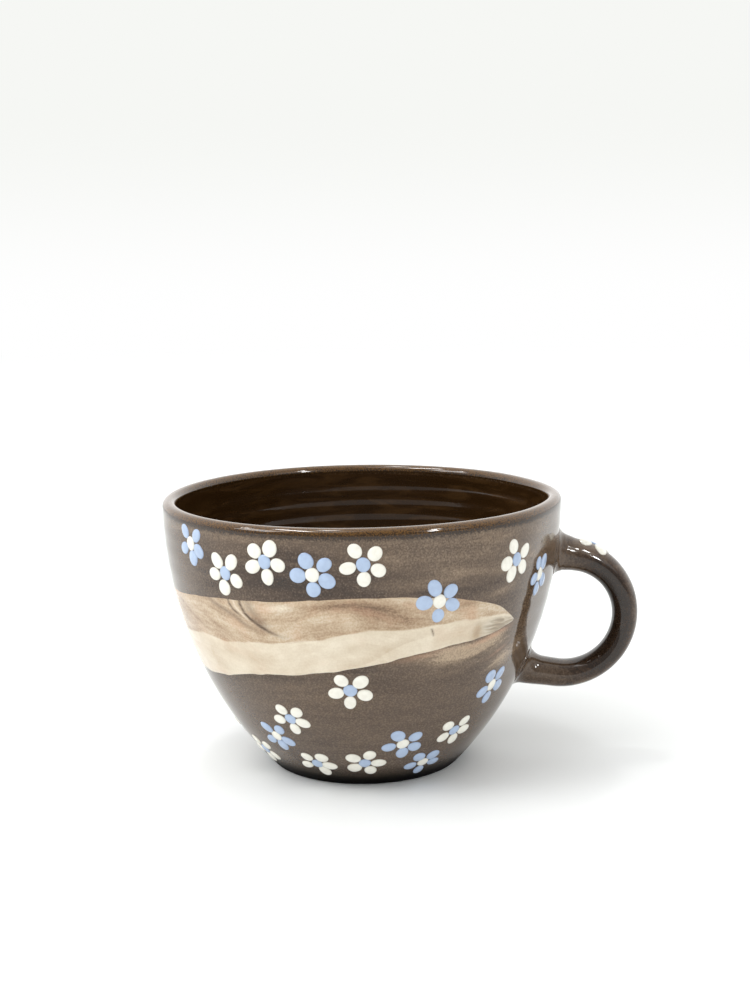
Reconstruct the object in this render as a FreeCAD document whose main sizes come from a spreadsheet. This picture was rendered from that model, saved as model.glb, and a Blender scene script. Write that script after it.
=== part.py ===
"""A hand-thrown coffee mug with a ring handle, a marbled band and flowers of slip dots.

Frame: millimetres, +Z up, +X towards the handle. The origin is the centre of the foot,
on the surface that the mug stands on. The fired mug is one solid. The marbled band is a
thin skin on its wall, and the flowers are low dots of slip that sit on wall and handle.
"""
import FreeCAD, Part
import math
import os

import Sketcher
from FreeCAD import Placement, Rotation, Vector

SIZES = [
    # Cup
    ("rim_radius", 55.0, "outside of the rim"),
    ("cup_height", 75.0, "table to lip"),
    ("foot_radius", 26.2, "where the wall would meet the table"),
    ("rim_wall", 3.8, "wall thickness at the rim"),
    ("floor_wall", 5.5, "wall thickness at the inside floor, measured level"),
    ("floor_height", 6.0, "inside floor above the table"),
    ("floor_blend", 6.0, "rounding between the inside floor and the wall"),
    ("lip_round", 1.75, "rounding of the lip"),
    ("well_ledge", 6.4, "flat of the inside floor round its shallow well, with the rounding"),
    ("well_depth", 0.8, "depth of the well"),
    ("well_slope", 0.9, "width of the well's sloping side"),
    ("foot_round", 1.6, "rounding of the foot's outer edge"),
    ("foot_ring", 4.5, "width of the ring that the mug stands on"),
    ("foot_recess", 1.2, "depth of the hollow under the foot"),
    ("recess_slope", 1.0, "width of the hollow's sloping side"),
    # Handle
    ("ring_stand", 6.5, "outside of the wall to the centre of the handle's ring"),
    ("ring_drop", 35.4, "lip to the centre of the handle's ring"),
    ("ring_radius", 17.1, "centreline of the handle"),
    ("top_angle", 78.0, "where the ring ends at the top, from level"),
    ("heel_angle", 99.0, "where the ring ends at the bottom, from level"),
    ("root_sink", 6.0, "how far the straight ends of the handle run into the blank cup"),
    ("grip_thick", 7.1, "handle at its middle, in the plane of the ring"),
    ("grip_wide", 8.8, "handle at its middle, across"),
    ("top_thick", 10.6, "handle at the top joint, in the plane of the ring"),
    ("top_wide", 10.8, "handle at the top joint, across"),
    ("heel_thick", 8.6, "handle at the lower joint, in the plane of the ring"),
    ("heel_wide", 10.0, "handle at the lower joint, across"),
    ("joint_blend", 2.6, "smoothed clay round each joint"),
    # Decoration
    ("band_thick", 0.2, "marbled skin on the wall"),
    ("dot_rise", 0.35, "slip dot above the wall"),
    ("petal_radius", 2.0, "petal dot"),
    ("heart_radius", 1.7, "dot at the flower's centre"),
    ("dot_gap", 0.15, "heart to petal, the least gap between two dots"),
    ("flower_set", 1.6, "crown of the handle to the heart of its flower, away from the front"),
]

DRAWN_HEIGHT = 75.0  # the heights in the next three lists are for a cup this tall
# Flowers on the wall: angle round the cup, height, colour of the petals, turn, share of full size
FLOWERS = [
    (-143.0, 67.3, "blue", 1, 1.0),
    (-129.5, 61.9, "cream", -5, 1.0),
    (-116.3, 66.1, "cream", 9, 1.0),
    (-103.2, 63.3, "blue", -8, 1.0),
    (-89.5, 66.2, "cream", -5, 1.0),
    (-69.6, 55.7, "blue", -8, 1.0),
    (-43.9, 63.3, "cream", -18, 1.0),
    (-28.5, 56.4, "blue", -9, 1.0),
    (-94.6, 32.3, "cream", -4, 1.0),
    (-41.8, 28.1, "blue", -1, 1.0),
    (-116.6, 22.5, "cream", -2, 0.92),
    (-128.6, 15.0, "blue", 4, 0.92),
    (-53.1, 16.3, "cream", 10, 0.92),
    (-75.3, 14.9, "blue", -6, 0.97),
    (-62.1, 6.8, "blue", -1, 0.9),
    (-90.7, 8.5, "cream", 19, 0.94),
    (-113.5, 7.4, "cream", 9, 0.9),
    (-146.0, 7.9, "cream", 25, 0.9),
    (26.0, 58.5, "blue", 6, 1.0),
    (50.0, 65.5, "cream", -7, 1.0),
    (78.0, 62.5, "blue", 3, 1.0),
    (108.0, 66.0, "cream", 10, 1.0),
    (138.0, 62.5, "blue", -5, 1.0),
    (168.0, 65.5, "cream", 2, 1.0),
    (62.0, 31.0, "cream", 8, 1.0),
    (152.0, 22.5, "blue", -10, 0.95),
    (6.0, 10.0, "cream", 4, 0.92),
    (42.0, 8.0, "blue", -6, 0.92),
    (80.0, 13.0, "cream", 12, 0.95),
    (116.0, 8.0, "blue", 0, 0.92),
    (-174.0, 12.0, "cream", -8, 0.92),
]
# The flower on top of the handle: angle on the handle's ring, colour of the petals, turn
HANDLE_FLOWER = (64.0, "cream", 40)

# Edges of the marbled band between its two tips: angle round the cup, height
BAND_UPPER = [
    (-40.5, 46.6), (-47.0, 50.8), (-57.5, 54.4), (-76.0, 57.3), (-96.0, 57.5), (-114.0, 56.1),
    (-137.0, 54.6), (-161.0, 52.3), (-190.0, 51.8), (-220.0, 53.2), (-248.0, 53.8), (-270.0, 51.8),
    (-285.0, 48.6),
]
BAND_LOWER = [
    (-40.5, 46.6), (-52.0, 44.2), (-60.0, 43.6), (-74.0, 42.0), (-88.0, 39.3), (-110.0, 36.2),
    (-128.0, 34.3), (-138.0, 32.4), (-163.0, 30.4), (-195.0, 32.0), (-225.0, 36.4), (-258.0, 43.0),
    (-285.0, 48.6),
]

PETALS = 5
PETAL_STEP = 360.0 / PETALS
PETAL_START = 90.0 - 2.0 * PETAL_STEP  # so that an unturned flower has a petal straight down
DOT_SIDES = 8  # a dot is small, so a few flats make it round enough
DOT_ROOT = 0.8  # how deep a dot is started under the surface, before the mug is taken off it
COVER_SPAN = 50.0  # degrees of the handle's ring that its flower may take
HANDLE_SECTIONS = 7  # ovals along the ring of the handle
HANDLE_SWELL = 0.6  # how much of its swelling towards the joints the ring itself takes on

doc = FreeCAD.newDocument("mug")

# Sheet of sizes
sheet = doc.addObject("Spreadsheet::Sheet", "Sizes")
for row, (alias, value, meaning) in enumerate(SIZES, start=1):
    sheet.set(f"A{row}", meaning)
    sheet.set(f"B{row}", str(value))
    sheet.setAlias(f"B{row}", alias)
SKIN = "sqrt(wall_sweep * wall_sweep - {0} * {0})"  # from the arc's centre, at a drop below its start
DERIVED = [
    # Both walls are one arc each, upright where the lip begins: radius = (rise^2 + run^2) / (2 run)
    ("lip_radius", "=min(lip_round; rim_wall * 0.48)"),
    ("wall_rise", "=cup_height - lip_radius"),
    ("wall_run", "=rim_radius - foot_radius"),
    ("wall_sweep", "=(wall_rise * wall_rise + wall_run * wall_run) / (2 * wall_run)"),
    ("bore_radius", "=rim_radius - rim_wall"),
    ("bore_rise", "=wall_rise - floor_height"),
    ("skin_at_floor", f"=rim_radius - wall_sweep + {SKIN.format('bore_rise')}"),
    ("floor_radius", "=skin_at_floor - floor_wall"),
    ("bore_run", "=bore_radius - floor_radius"),
    ("bore_sweep", "=(bore_rise * bore_rise + bore_run * bore_run) / (2 * bore_run)"),
    ("recess_radius", "=foot_radius - foot_ring"),
    ("well_radius", "=floor_radius - well_ledge"),
    # The ring of the handle, and its straight ends that reach under the surface of the wall
    ("ring_height", "=cup_height - ring_drop"),
    ("drop_to_ring", "=wall_rise - ring_height"),
    ("skin_at_ring", f"=rim_radius - wall_sweep + {SKIN.format('drop_to_ring')}"),
    ("ring_out", "=skin_at_ring + ring_stand"),
    ("top_x", "=ring_out + ring_radius * cos(top_angle * 1deg)"),
    ("top_z", "=ring_height + ring_radius * sin(top_angle * 1deg)"),
    ("drop_to_top", "=wall_rise - top_z"),
    ("skin_at_top", f"=rim_radius - wall_sweep + {SKIN.format('drop_to_top')}"),
    ("top_run", "=top_x - skin_at_top + root_sink"),
    ("heel_x", "=ring_out + ring_radius * cos(heel_angle * 1deg)"),
    ("heel_z", "=ring_height - ring_radius * sin(heel_angle * 1deg)"),
    ("drop_to_heel", "=wall_rise - heel_z"),
    ("skin_at_heel", f"=rim_radius - wall_sweep + {SKIN.format('drop_to_heel')}"),
    ("heel_run", "=heel_x - skin_at_heel + root_sink"),
    # Petals clear of the heart and of each other
    ("heart_room", "=petal_radius + heart_radius + dot_gap"),
    ("petal_room", "=(petal_radius + dot_gap / 2) / sin(36deg)"),
    ("petal_reach", "=max(heart_room; petal_room)"),
]
for row, (alias, formula) in enumerate(DERIVED, start=len(SIZES) + 2):
    sheet.set(f"A{row}", "worked out")
    sheet.set(f"B{row}", formula)
    sheet.setAlias(f"B{row}", alias)
doc.recompute()


def size(alias):
    """The value of a cell of the sheet."""
    return float(sheet.get(alias))


def measure(formula):
    """The present value of a formula on the sheet's cells."""
    return float(sheet.evalExpression(formula))


def origin_plane(body, role):
    """A plane of the body's own origin."""
    return next(item for item in body.Origin.OriginFeatures if item.Role == role)


def sketch_on(body, name, role="XZ_Plane"):
    """An empty sketch on a plane of the body's origin."""
    sketch = body.newObject("Sketcher::SketchObject", name)
    sketch.AttachmentSupport = [(origin_plane(body, role), "")]
    sketch.MapMode = "FlatFace"
    return sketch


def bind(sketch, kind, where, name, formula):
    """Adds a named constraint to a sketch and ties it to a formula on the sheet."""
    index = sketch.addConstraint(Sketcher.Constraint(kind, *where, measure(formula)))
    sketch.renameConstraint(index, name)
    sketch.setExpression(f"Constraints.{name}", formula)


def place(sketch, line, end, name, across, up):
    """Ties an end of a line to its distance from the cup's axis and its height."""
    bind(sketch, "DistanceX", (-1, 1, line, end), f"{name}_across", across)
    if measure(up):
        bind(sketch, "DistanceY", (-1, 1, line, end), f"{name}_up", up)
    else:
        sketch.addConstraint(Sketcher.Constraint("PointOnObject", line, end, -1))


def level(height):
    """A height on the cup as it is now, from a height on the cup as drawn."""
    return height * size("cup_height") / DRAWN_HEIGHT


def turned_wall(sketch, foot, foot_height, rim, sweep, lip_way):
    """Draws a half section: out along the foot, up the wall's arc, round the lip and in again.

    All but lip_way are formulas on the sheet. The arc's centre is level with the start of
    the lip, so the wall is upright there. lip_way is -1 where the lip curls in over the
    solid, as on the outside, and 1 where it curls out, as on the bore.
    """
    lip = "Sizes.lip_radius"
    crest = f"{rim} + {lip_way} * {lip}"
    low = Vector(measure(foot), measure(foot_height), 0)
    high = Vector(measure(rim), measure(f"Sizes.cup_height - {lip}"), 0)
    top = Vector(measure(crest), size("cup_height"), 0)
    upward = Vector(0, 0, 1)
    centre = Vector(high.x - measure(sweep), high.y, 0)
    start = math.atan2(low.y - centre.y, low.x - centre.x)
    wall = Part.ArcOfCircle(Part.Circle(centre, upward, measure(sweep)), start, 0.0)
    lip_start = 0.0 if lip_way < 0 else math.pi / 2.0
    lip_circle = Part.Circle(Vector(top.x, high.y, 0), upward, measure(lip))
    lip_arc = Part.ArcOfCircle(lip_circle, lip_start, lip_start + math.pi / 2.0)
    lip_low, lip_high = (1, 2) if lip_way < 0 else (2, 1)
    axis_low, axis_high = Vector(0, low.y, 0), Vector(0, top.y, 0)
    sketch.addGeometry([
        Part.LineSegment(axis_low, low), wall, lip_arc,
        Part.LineSegment(top, axis_high), Part.LineSegment(axis_high, axis_low)], False)
    for joint in ((0, 2, 1, 1), (1, 2, 2, lip_low), (2, lip_high, 3, 1), (3, 2, 4, 1), (4, 2, 0, 1)):
        sketch.addConstraint(Sketcher.Constraint("Coincident", *joint))
    sketch.addConstraint(Sketcher.Constraint("Horizontal", 0))
    sketch.addConstraint(Sketcher.Constraint("Horizontal", 3))
    sketch.addConstraint(Sketcher.Constraint("PointOnObject", 0, 1, -2))
    sketch.addConstraint(Sketcher.Constraint("PointOnObject", 3, 2, -2))
    place(sketch, 0, 2, "foot", foot, foot_height)
    place(sketch, 1, 2, "rim", rim, f"Sizes.cup_height - {lip}")
    place(sketch, 3, 1, "crest", crest, "Sizes.cup_height")
    bind(sketch, "Radius", (1,), "sweep", sweep)
    bind(sketch, "Radius", (2,), "lip", lip)


def dish(sketch, mouth, mouth_height, bed_height, slope):
    """Draws the half section of a shallow dish with a sloping side, from formulas on the sheet."""
    bed = f"{mouth} - {slope}"
    points = [
        Vector(0, measure(mouth_height), 0), Vector(measure(mouth), measure(mouth_height), 0),
        Vector(measure(bed), measure(bed_height), 0), Vector(0, measure(bed_height), 0),
    ]
    for start, end in zip(points, points[1:] + points[:1]):
        sketch.addGeometry(Part.LineSegment(start, end), False)
    for line in range(len(points)):
        following = (line + 1) % len(points)
        sketch.addConstraint(Sketcher.Constraint("Coincident", line, 2, following, 1))
    sketch.addConstraint(Sketcher.Constraint("Horizontal", 0))
    sketch.addConstraint(Sketcher.Constraint("Horizontal", 2))
    sketch.addConstraint(Sketcher.Constraint("PointOnObject", 0, 1, -2))
    sketch.addConstraint(Sketcher.Constraint("PointOnObject", 3, 1, -2))
    place(sketch, 0, 2, "mouth", mouth, mouth_height)
    place(sketch, 2, 1, "bed", bed, bed_height)


def turned(body, kind, name, sketch):
    """A Revolution or a Groove of the sketch about the cup's axis."""
    feature = body.newObject(f"PartDesign::{kind}", name)
    feature.Profile = sketch
    feature.ReferenceAxis = (sketch, ["V_Axis"])
    feature.Angle = 360.0
    doc.recompute()
    return feature


def ring_edges(shape, radius, height):
    """Names of the full circles about the cup's axis with this radius and height."""
    names = []
    for number, edge in enumerate(shape.Edges, start=1):
        curve = edge.Curve
        if isinstance(curve, Part.Circle) and math.hypot(curve.Center.x, curve.Center.y) < 0.01:
            if abs(curve.Radius - radius) < 0.01 and abs(curve.Center.z - height) < 0.01:
                names.append(f"Edge{number}")
    return names


def rounded(body, name, base, edges, alias):
    """A fillet of the named edges, as large as the sheet says."""
    if not edges:
        raise RuntimeError(f"no edge to round for {name}")
    feature = body.newObject("PartDesign::Fillet", name)
    feature.Base = (base, edges)
    feature.setExpression("Radius", f"Sizes.{alias}")
    doc.recompute()
    return feature


def oval(body, name, angle, run, thick, wide):
    """One section of the handle: an oval square to the handle's centreline.

    angle is where it stands on the ring, as a formula in degrees. run is how far it stands
    beyond that point along the tangent, towards the wall. thick and wide are its two axes.
    """
    sketch = body.newObject("Sketcher::SketchObject", name)
    sketch.Placement = Placement(Vector(0, 0, 0), Rotation(Vector(0, 1, 0), 1.0))
    cosine, sine = f"cos(({angle}) * 1deg)", f"sin(({angle}) * 1deg)"
    sketch.setExpression(
        "Placement.Base.x", f"Sizes.ring_out + Sizes.ring_radius * {cosine} - ({run}) * {sine}")
    sketch.setExpression(
        "Placement.Base.z", f"Sizes.ring_height + Sizes.ring_radius * {sine} + ({run}) * {cosine}")
    sketch.setExpression("Placement.Rotation.Angle", f"-({angle}) * 1deg")
    half_wide, half_thick = size("grip_wide") / 2.0, size("grip_thick") / 2.0
    shape = Part.Ellipse(Vector(0, half_wide, 0), Vector(half_thick, 0, 0), Vector(0, 0, 0))
    sketch.addGeometry(shape, False)
    sketch.exposeInternalGeometry(0)
    sketch.addConstraint(Sketcher.Constraint("Coincident", 0, 3, -1, 1))
    sketch.addConstraint(Sketcher.Constraint("Vertical", 1))
    bind(sketch, "Distance", (1,), "wide", wide)
    bind(sketch, "Distance", (2,), "thick", thick)
    return sketch


def swollen(kind, along):
    """Formula for the thickness or width of the handle, at a share of the way from top to heel.

    It is full at the joints and slim at the middle, after the square of the distance from it.
    """
    share = HANDLE_SWELL * (2.0 * along - 1.0) ** 2
    end = "top" if along < 0.5 else "heel"
    return f"Sizes.grip_{kind} + (Sizes.{end}_{kind} - Sizes.grip_{kind}) * {share:.4f}"


def handle_sections(body):
    """The ovals of the handle, from its root in the wall at the top round to the lower one."""
    sections = [oval(body, "top_root", "Sizes.top_angle", "Sizes.top_run",
                     "Sizes.top_thick", "Sizes.top_wide")]
    for step in range(HANDLE_SECTIONS):
        along = step / (HANDLE_SECTIONS - 1)
        sections.append(oval(
            body, f"ring_{step + 1}",
            f"Sizes.top_angle - (Sizes.top_angle + Sizes.heel_angle) * {along:.4f}", "0",
            swollen("thick", along), swollen("wide", along)))
    sections.append(oval(body, "heel_root", "-Sizes.heel_angle", "-Sizes.heel_run",
                         "Sizes.heel_thick", "Sizes.heel_wide"))
    return sections


def joint_edges(shape):
    """Names of the edges where the handle meets the outside of the wall."""
    names = []
    for number, edge in enumerate(shape.Edges, start=1):
        box = edge.BoundBox
        free = not isinstance(edge.Curve, (Part.Circle, Part.Line))
        if free and box.XMin > 0 and box.YLength > size("grip_thick") * 0.4:
            radii = [math.hypot(vertex.X, vertex.Y) - wall_radius(vertex.Z) for vertex in edge.Vertexes]
            if max(abs(gap) for gap in radii) < 0.05:
                names.append(f"Edge{number}")
    return names


def wall_radius(height):
    """Outside radius of the cup at a height."""
    rise = size("wall_rise") - height
    return size("rim_radius") - size("wall_sweep") + math.sqrt(size("wall_sweep") ** 2 - rise ** 2)


def wall_lean(height):
    """How far the wall leans out at a height, from upright."""
    return math.asin((size("wall_rise") - height) / size("wall_sweep"))


def wall_frame(angle, height):
    """A point of the wall, with the directions round the cup, up the wall and out of it."""
    turn = math.radians(angle)
    lean = wall_lean(height)
    out_flat = Vector(math.cos(turn), math.sin(turn), 0)
    radius = wall_radius(height)
    place = out_flat * radius + Vector(0, 0, height)
    across = Vector(-math.sin(turn), math.cos(turn), 0)
    outward = out_flat * math.cos(lean) - Vector(0, 0, math.sin(lean))
    return place, across, outward


def half_oval(ring_angle):
    """Half the thickness and half the width of the handle at an angle on its ring."""
    along = (size("top_angle") - ring_angle) / (size("top_angle") + size("heel_angle"))
    return measure(swollen("thick", along)) / 2.0, measure(swollen("wide", along)) / 2.0


def handle_frame(ring_angle, round_angle):
    """A point on the outside of the handle, with the directions along the oval and out of it."""
    turn, tip = math.radians(ring_angle), math.radians(round_angle)
    half_thick, half_wide = half_oval(ring_angle)
    radial = Vector(math.cos(turn), 0, math.sin(turn))
    across = Vector(0, 1, 0)
    centre = Vector(size("ring_out"), 0, size("ring_height")) + radial * size("ring_radius")
    place = centre + radial * (half_thick * math.cos(tip)) + across * (half_wide * math.sin(tip))
    outward = radial * (math.cos(tip) / half_thick) + across * (math.sin(tip) / half_wide)
    return place, across, outward.normalize()


def dot(frame, radius, rise):
    """A short prism that stands square on the surface at a frame."""
    place, across, outward = frame
    upward = outward.cross(across).normalize()
    across = upward.cross(outward).normalize()
    corners = []
    for side in range(DOT_SIDES):
        angle = 2.0 * math.pi * (side + 0.5) / DOT_SIDES
        corners.append(
            place - outward * DOT_ROOT
            + across * (radius * math.cos(angle)) + upward * (radius * math.sin(angle)))
    outline = Part.makePolygon(corners + corners[:1])
    return Part.Face(outline).extrude(outward * (DOT_ROOT + rise))


def petal_offsets(turn, share):
    """Offsets of the five petals from the heart of a flower: across and up, in millimetres."""
    reach = size("petal_reach") * share
    angles = [math.radians(PETAL_START + PETAL_STEP * petal + turn) for petal in range(PETALS)]
    return [(reach * math.cos(angle), reach * math.sin(angle)) for angle in angles]


def wall_flower(angle, height, turn, share):
    """The dots of one flower on the wall: its petals and its heart."""
    lean = wall_lean(height)
    rise = size("dot_rise")
    petals = []
    for across, up in petal_offsets(turn, share):
        petal_height = height + up * math.cos(lean)
        petal_angle = angle + math.degrees(across / wall_radius(petal_height))
        petals.append(dot(wall_frame(petal_angle, petal_height), size("petal_radius") * share, rise))
    return petals, dot(wall_frame(angle, height), size("heart_radius") * share, rise)


def handle_cover(ring_angle):
    """A stretch of ring that is higher than the handle by the rise of a dot."""
    start = math.radians(ring_angle + COVER_SPAN / 2.0)
    half_thick, half_wide = half_oval(ring_angle)
    radial = Vector(math.cos(start), 0, math.sin(start))
    middle = Vector(size("ring_out"), 0, size("ring_height"))
    centre = middle + radial * size("ring_radius")
    oval_curve = Part.Ellipse(
        centre + Vector(0, half_wide + size("dot_rise"), 0),
        centre + radial * (half_thick + size("dot_rise")), centre)
    face = Part.Face(Part.Wire(oval_curve.toShape()))
    return face.revolve(middle, Vector(0, 1, 0), COVER_SPAN)


def handle_flower(ring_angle, turn):
    """The dots of the flower on top of the handle, which follow its curve."""
    half_thick, half_wide = half_oval(ring_angle)
    crown = size("ring_radius") + half_thick
    set_back = math.degrees(size("flower_set") / half_wide)
    cover = handle_cover(ring_angle)
    spots = []
    for across, up in petal_offsets(turn, 1.0):
        along, round_angle = math.degrees(up / crown), math.degrees(across / half_wide)
        spots.append((
            handle_frame(ring_angle + along, set_back + round_angle), size("petal_radius")))
    spots.append((handle_frame(ring_angle, set_back), size("heart_radius")))
    curved = [dot(place, radius, half_thick).common(cover).Solids[0] for place, radius in spots]
    return curved[:PETALS], curved[PETALS]


def band_edge(points, radius):
    """A smooth curve through the given angles and heights, at one distance from the axis."""
    places = []
    for angle, height in points:
        turn = math.radians(angle)
        places.append(Vector(radius * math.cos(turn), radius * math.sin(turn), level(height)))
    curve = Part.BSplineCurve()
    curve.interpolate(places)
    return curve.toShape()


def band_wedge():
    """A solid between the band's two edges, from inside the wall to outside it."""
    inner, outer = size("rim_radius") * 0.5, size("rim_radius") * 1.15
    upper = [band_edge(BAND_UPPER, radius) for radius in (inner, outer)]
    lower = [band_edge(BAND_LOWER, radius) for radius in (inner, outer)]
    faces = [
        Part.makeRuledSurface(upper[0], upper[1]), Part.makeRuledSurface(lower[0], lower[1]),
        Part.makeRuledSurface(upper[0], lower[0]), Part.makeRuledSurface(upper[1], lower[1]),
    ]
    shell = Part.Shell(faces)
    shell.sewShape()
    solid = Part.Solid(shell)
    if solid.Volume < 0:
        solid.reverse()
    return solid


def wall_skin(thickness):
    """A shell of revolution that lies on the outside of the wall from foot to rim."""
    sweep, top = size("wall_sweep"), size("wall_rise")
    centre = Vector(size("rim_radius") - sweep, 0, top)
    low_lean, high_lean = wall_lean(size("foot_round") + 1.0), wall_lean(top - size("lip_radius"))
    corners = []
    for radius in (sweep, sweep + thickness):
        spots = []
        for lean in (low_lean, (low_lean + high_lean) / 2.0, high_lean):
            spots.append(centre + Vector(radius * math.cos(lean), 0, -radius * math.sin(lean)))
        corners.append(spots)
    wire = Part.Wire([
        Part.Arc(*corners[0]).toShape(), Part.LineSegment(corners[0][2], corners[1][2]).toShape(),
        Part.Arc(corners[1][2], corners[1][1], corners[1][0]).toShape(),
        Part.LineSegment(corners[1][0], corners[0][0]).toShape(),
    ])
    return Part.Face(wire).revolve(Vector(0, 0, 0), Vector(0, 0, 1), 360.0)


def trimmed(prism, skin):
    """The part of a dot that stands above what it sits on: the handle, or the wall and its skin."""
    on_handle = math.hypot(prism.CenterOfMass.x, prism.CenterOfMass.y) > size("rim_radius") + DOT_ROOT
    rest = prism.cut(joined.Shape if on_handle else blank.Shape)
    if rest.common(skin).Volume > 0:
        rest = rest.cut(skin)
    if len(rest.Solids) != 1:
        raise RuntimeError(f"a dot at {prism.CenterOfMass} came out as {len(rest.Solids)} solids")
    return rest.Solids[0]


def shape_node(name, shape):
    """A document object that holds a finished shape."""
    node = doc.addObject("Part::Feature", name)
    node.Shape = shape
    node.Placement = Placement()
    node.Label = name
    return node


# The fired mug
mug = doc.addObject("PartDesign::Body", "mug")
mug.Label = "mug"

blank_sketch = sketch_on(mug, "blank_section")
turned_wall(
    blank_sketch, "Sizes.foot_radius", "0", "Sizes.rim_radius", "Sizes.wall_sweep", -1)
blank = turned(mug, "Revolution", "blank", blank_sketch)

sections = handle_sections(mug)
handle = mug.newObject("PartDesign::AdditiveLoft", "handle")
handle.Profile = sections[0]
handle.Sections = sections[1:]
handle.Ruled = False
handle.Closed = False
doc.recompute()
joined = rounded(mug, "joints", handle, joint_edges(handle.Shape), "joint_blend")

bore_sketch = sketch_on(mug, "bore_section")
turned_wall(
    bore_sketch, "Sizes.floor_radius", "Sizes.floor_height", "Sizes.bore_radius", "Sizes.bore_sweep", 1)
bore = turned(mug, "Groove", "bore", bore_sketch)

floor_edge = ring_edges(bore.Shape, size("floor_radius"), size("floor_height"))
floor_round = rounded(mug, "floor_rounding", bore, floor_edge, "floor_blend")

well_sketch = sketch_on(mug, "well_section")
dish(
    well_sketch, "Sizes.well_radius", "Sizes.floor_height",
    "Sizes.floor_height - Sizes.well_depth", "Sizes.well_slope")
well = turned(mug, "Groove", "well", well_sketch)

recess_sketch = sketch_on(mug, "recess_section")
dish(recess_sketch, "Sizes.recess_radius", "0", "Sizes.foot_recess", "Sizes.recess_slope")
recess = turned(mug, "Groove", "recess", recess_sketch)

foot_edge = ring_edges(recess.Shape, size("foot_radius"), 0.0)
foot = rounded(mug, "foot_rounding", recess, foot_edge, "foot_round")

for feature, before, grows in (
        (handle, blank, True), (bore, joined, False), (well, floor_round, False), (recess, well, False)):
    change = feature.Shape.Volume - before.Shape.Volume
    if (change > 0) != grows:
        raise RuntimeError(f"{feature.Name} changed the mug by {change:.0f} cubic millimetres")

# The marbled band, a skin on the wall
# As B-spline surfaces it meshes with a fifth of the triangles that its turned faces would need
band_shape = wall_skin(size("band_thick")).common(band_wedge())
band = shape_node("marbled_band", Part.makeCompound(band_shape.toNurbs().Solids))

# The slip dots of both colours, each with its foot trimmed to what it sits on
dots = {"cream": [], "blue": []}
OTHER = {"cream": "blue", "blue": "cream"}
for angle, height, colour, turn, share in FLOWERS:
    petals, heart = wall_flower(angle, level(height), turn, share)
    dots[colour] += petals
    dots[OTHER[colour]].append(heart)
petals, heart = handle_flower(HANDLE_FLOWER[0], HANDLE_FLOWER[2])
dots[HANDLE_FLOWER[1]] += petals
dots[OTHER[HANDLE_FLOWER[1]]].append(heart)

nodes = [mug, band]
for colour, prisms in dots.items():
    seated = [trimmed(prism, band.Shape) for prism in prisms]
    nodes.append(shape_node(f"{colour}_dots", Part.makeCompound(seated)))

doc.recompute()
for item in doc.Objects:
    if "Invalid" in item.State or "Error" in item.State:
        raise RuntimeError(f"{item.Name} failed: {item.State}")
for node in nodes:
    if node.Shape.isNull() or not node.Shape.isValid() or not node.Shape.Solids:
        raise RuntimeError(f"{node.Label} has no valid solid")

os.makedirs("parts", exist_ok=True)
for node in nodes:
    node.Shape.exportStep(os.path.join("parts", f"{node.Label}.step"))
    box = node.Shape.BoundBox
    print(f"{node.Label}: {len(node.Shape.Solids)} solids, {node.Shape.Volume / 1000:.1f} ml, "
          f"{box.XLength:.1f} x {box.YLength:.1f} x {box.ZLength:.1f} mm")
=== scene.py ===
"""The looks of a hand-thrown coffee mug with a ring handle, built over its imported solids.

All places are in the frame of the solids: metres, origin at the centre of the foot, +Z up and
+X towards the handle. Sizes are written in millimetres, and an azimuth is an angle round the cup,
0 at the handle and -90 at the side that faces the camera.
"""
import enum
import logging
import math
from collections.abc import Callable
from dataclasses import dataclass, field

import bpy
import numpy as np
from mathutils import Matrix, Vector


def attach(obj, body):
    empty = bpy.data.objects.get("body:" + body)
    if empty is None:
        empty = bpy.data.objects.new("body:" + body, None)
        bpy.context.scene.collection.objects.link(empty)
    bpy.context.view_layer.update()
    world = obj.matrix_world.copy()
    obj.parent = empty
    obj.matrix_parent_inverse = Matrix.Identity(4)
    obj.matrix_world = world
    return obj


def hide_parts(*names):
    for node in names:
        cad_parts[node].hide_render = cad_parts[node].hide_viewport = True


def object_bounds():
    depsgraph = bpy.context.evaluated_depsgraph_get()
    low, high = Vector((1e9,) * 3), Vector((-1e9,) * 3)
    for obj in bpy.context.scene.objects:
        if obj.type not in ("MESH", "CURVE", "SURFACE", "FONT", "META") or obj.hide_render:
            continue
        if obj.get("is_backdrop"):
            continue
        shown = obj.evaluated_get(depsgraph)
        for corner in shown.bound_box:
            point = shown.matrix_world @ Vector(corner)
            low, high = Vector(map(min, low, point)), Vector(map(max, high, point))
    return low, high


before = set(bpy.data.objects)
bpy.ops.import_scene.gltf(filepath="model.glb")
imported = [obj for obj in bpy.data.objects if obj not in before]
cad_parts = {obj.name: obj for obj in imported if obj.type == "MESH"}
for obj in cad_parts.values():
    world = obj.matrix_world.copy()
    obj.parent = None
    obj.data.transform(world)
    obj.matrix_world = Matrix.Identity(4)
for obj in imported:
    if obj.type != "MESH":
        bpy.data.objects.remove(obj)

MM = 0.001
LOG = logging.getLogger("mug")
Socket = bpy.types.NodeSocket
Points = np.ndarray
Pair = tuple[float, float]
# Gives, for offsets across and up a surface in millimetres, the places there and the directions
# across, up and out
FrameAt = Callable[[Points, Points], tuple[Points, ...]]
# Settings of a Map Range node with a soft start and end, and of a Mix node on colours, which
# takes its share at input 0 and its colours at 6 and 7 and gives the result at output 2
SOFT = {"interpolation_type": "SMOOTHSTEP"}
COLOURS = {"data_type": "RGBA"}


# Colour and node helpers

def srgb(code: str) -> tuple[float, float, float, float]:
    """Turns an sRGB hex code to a linear colour.

    Args:
        code: a code such as "#80654a".

    Returns:
        Linear red, green and blue, and full alpha.
    """
    channels = [int(code[place:place + 2], 16) / 255.0 for place in (1, 3, 5)]
    linear = [c / 12.92 if c <= 0.04045 else ((c + 0.055) / 1.055) ** 2.4 for c in channels]
    return linear[0], linear[1], linear[2], 1.0


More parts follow.
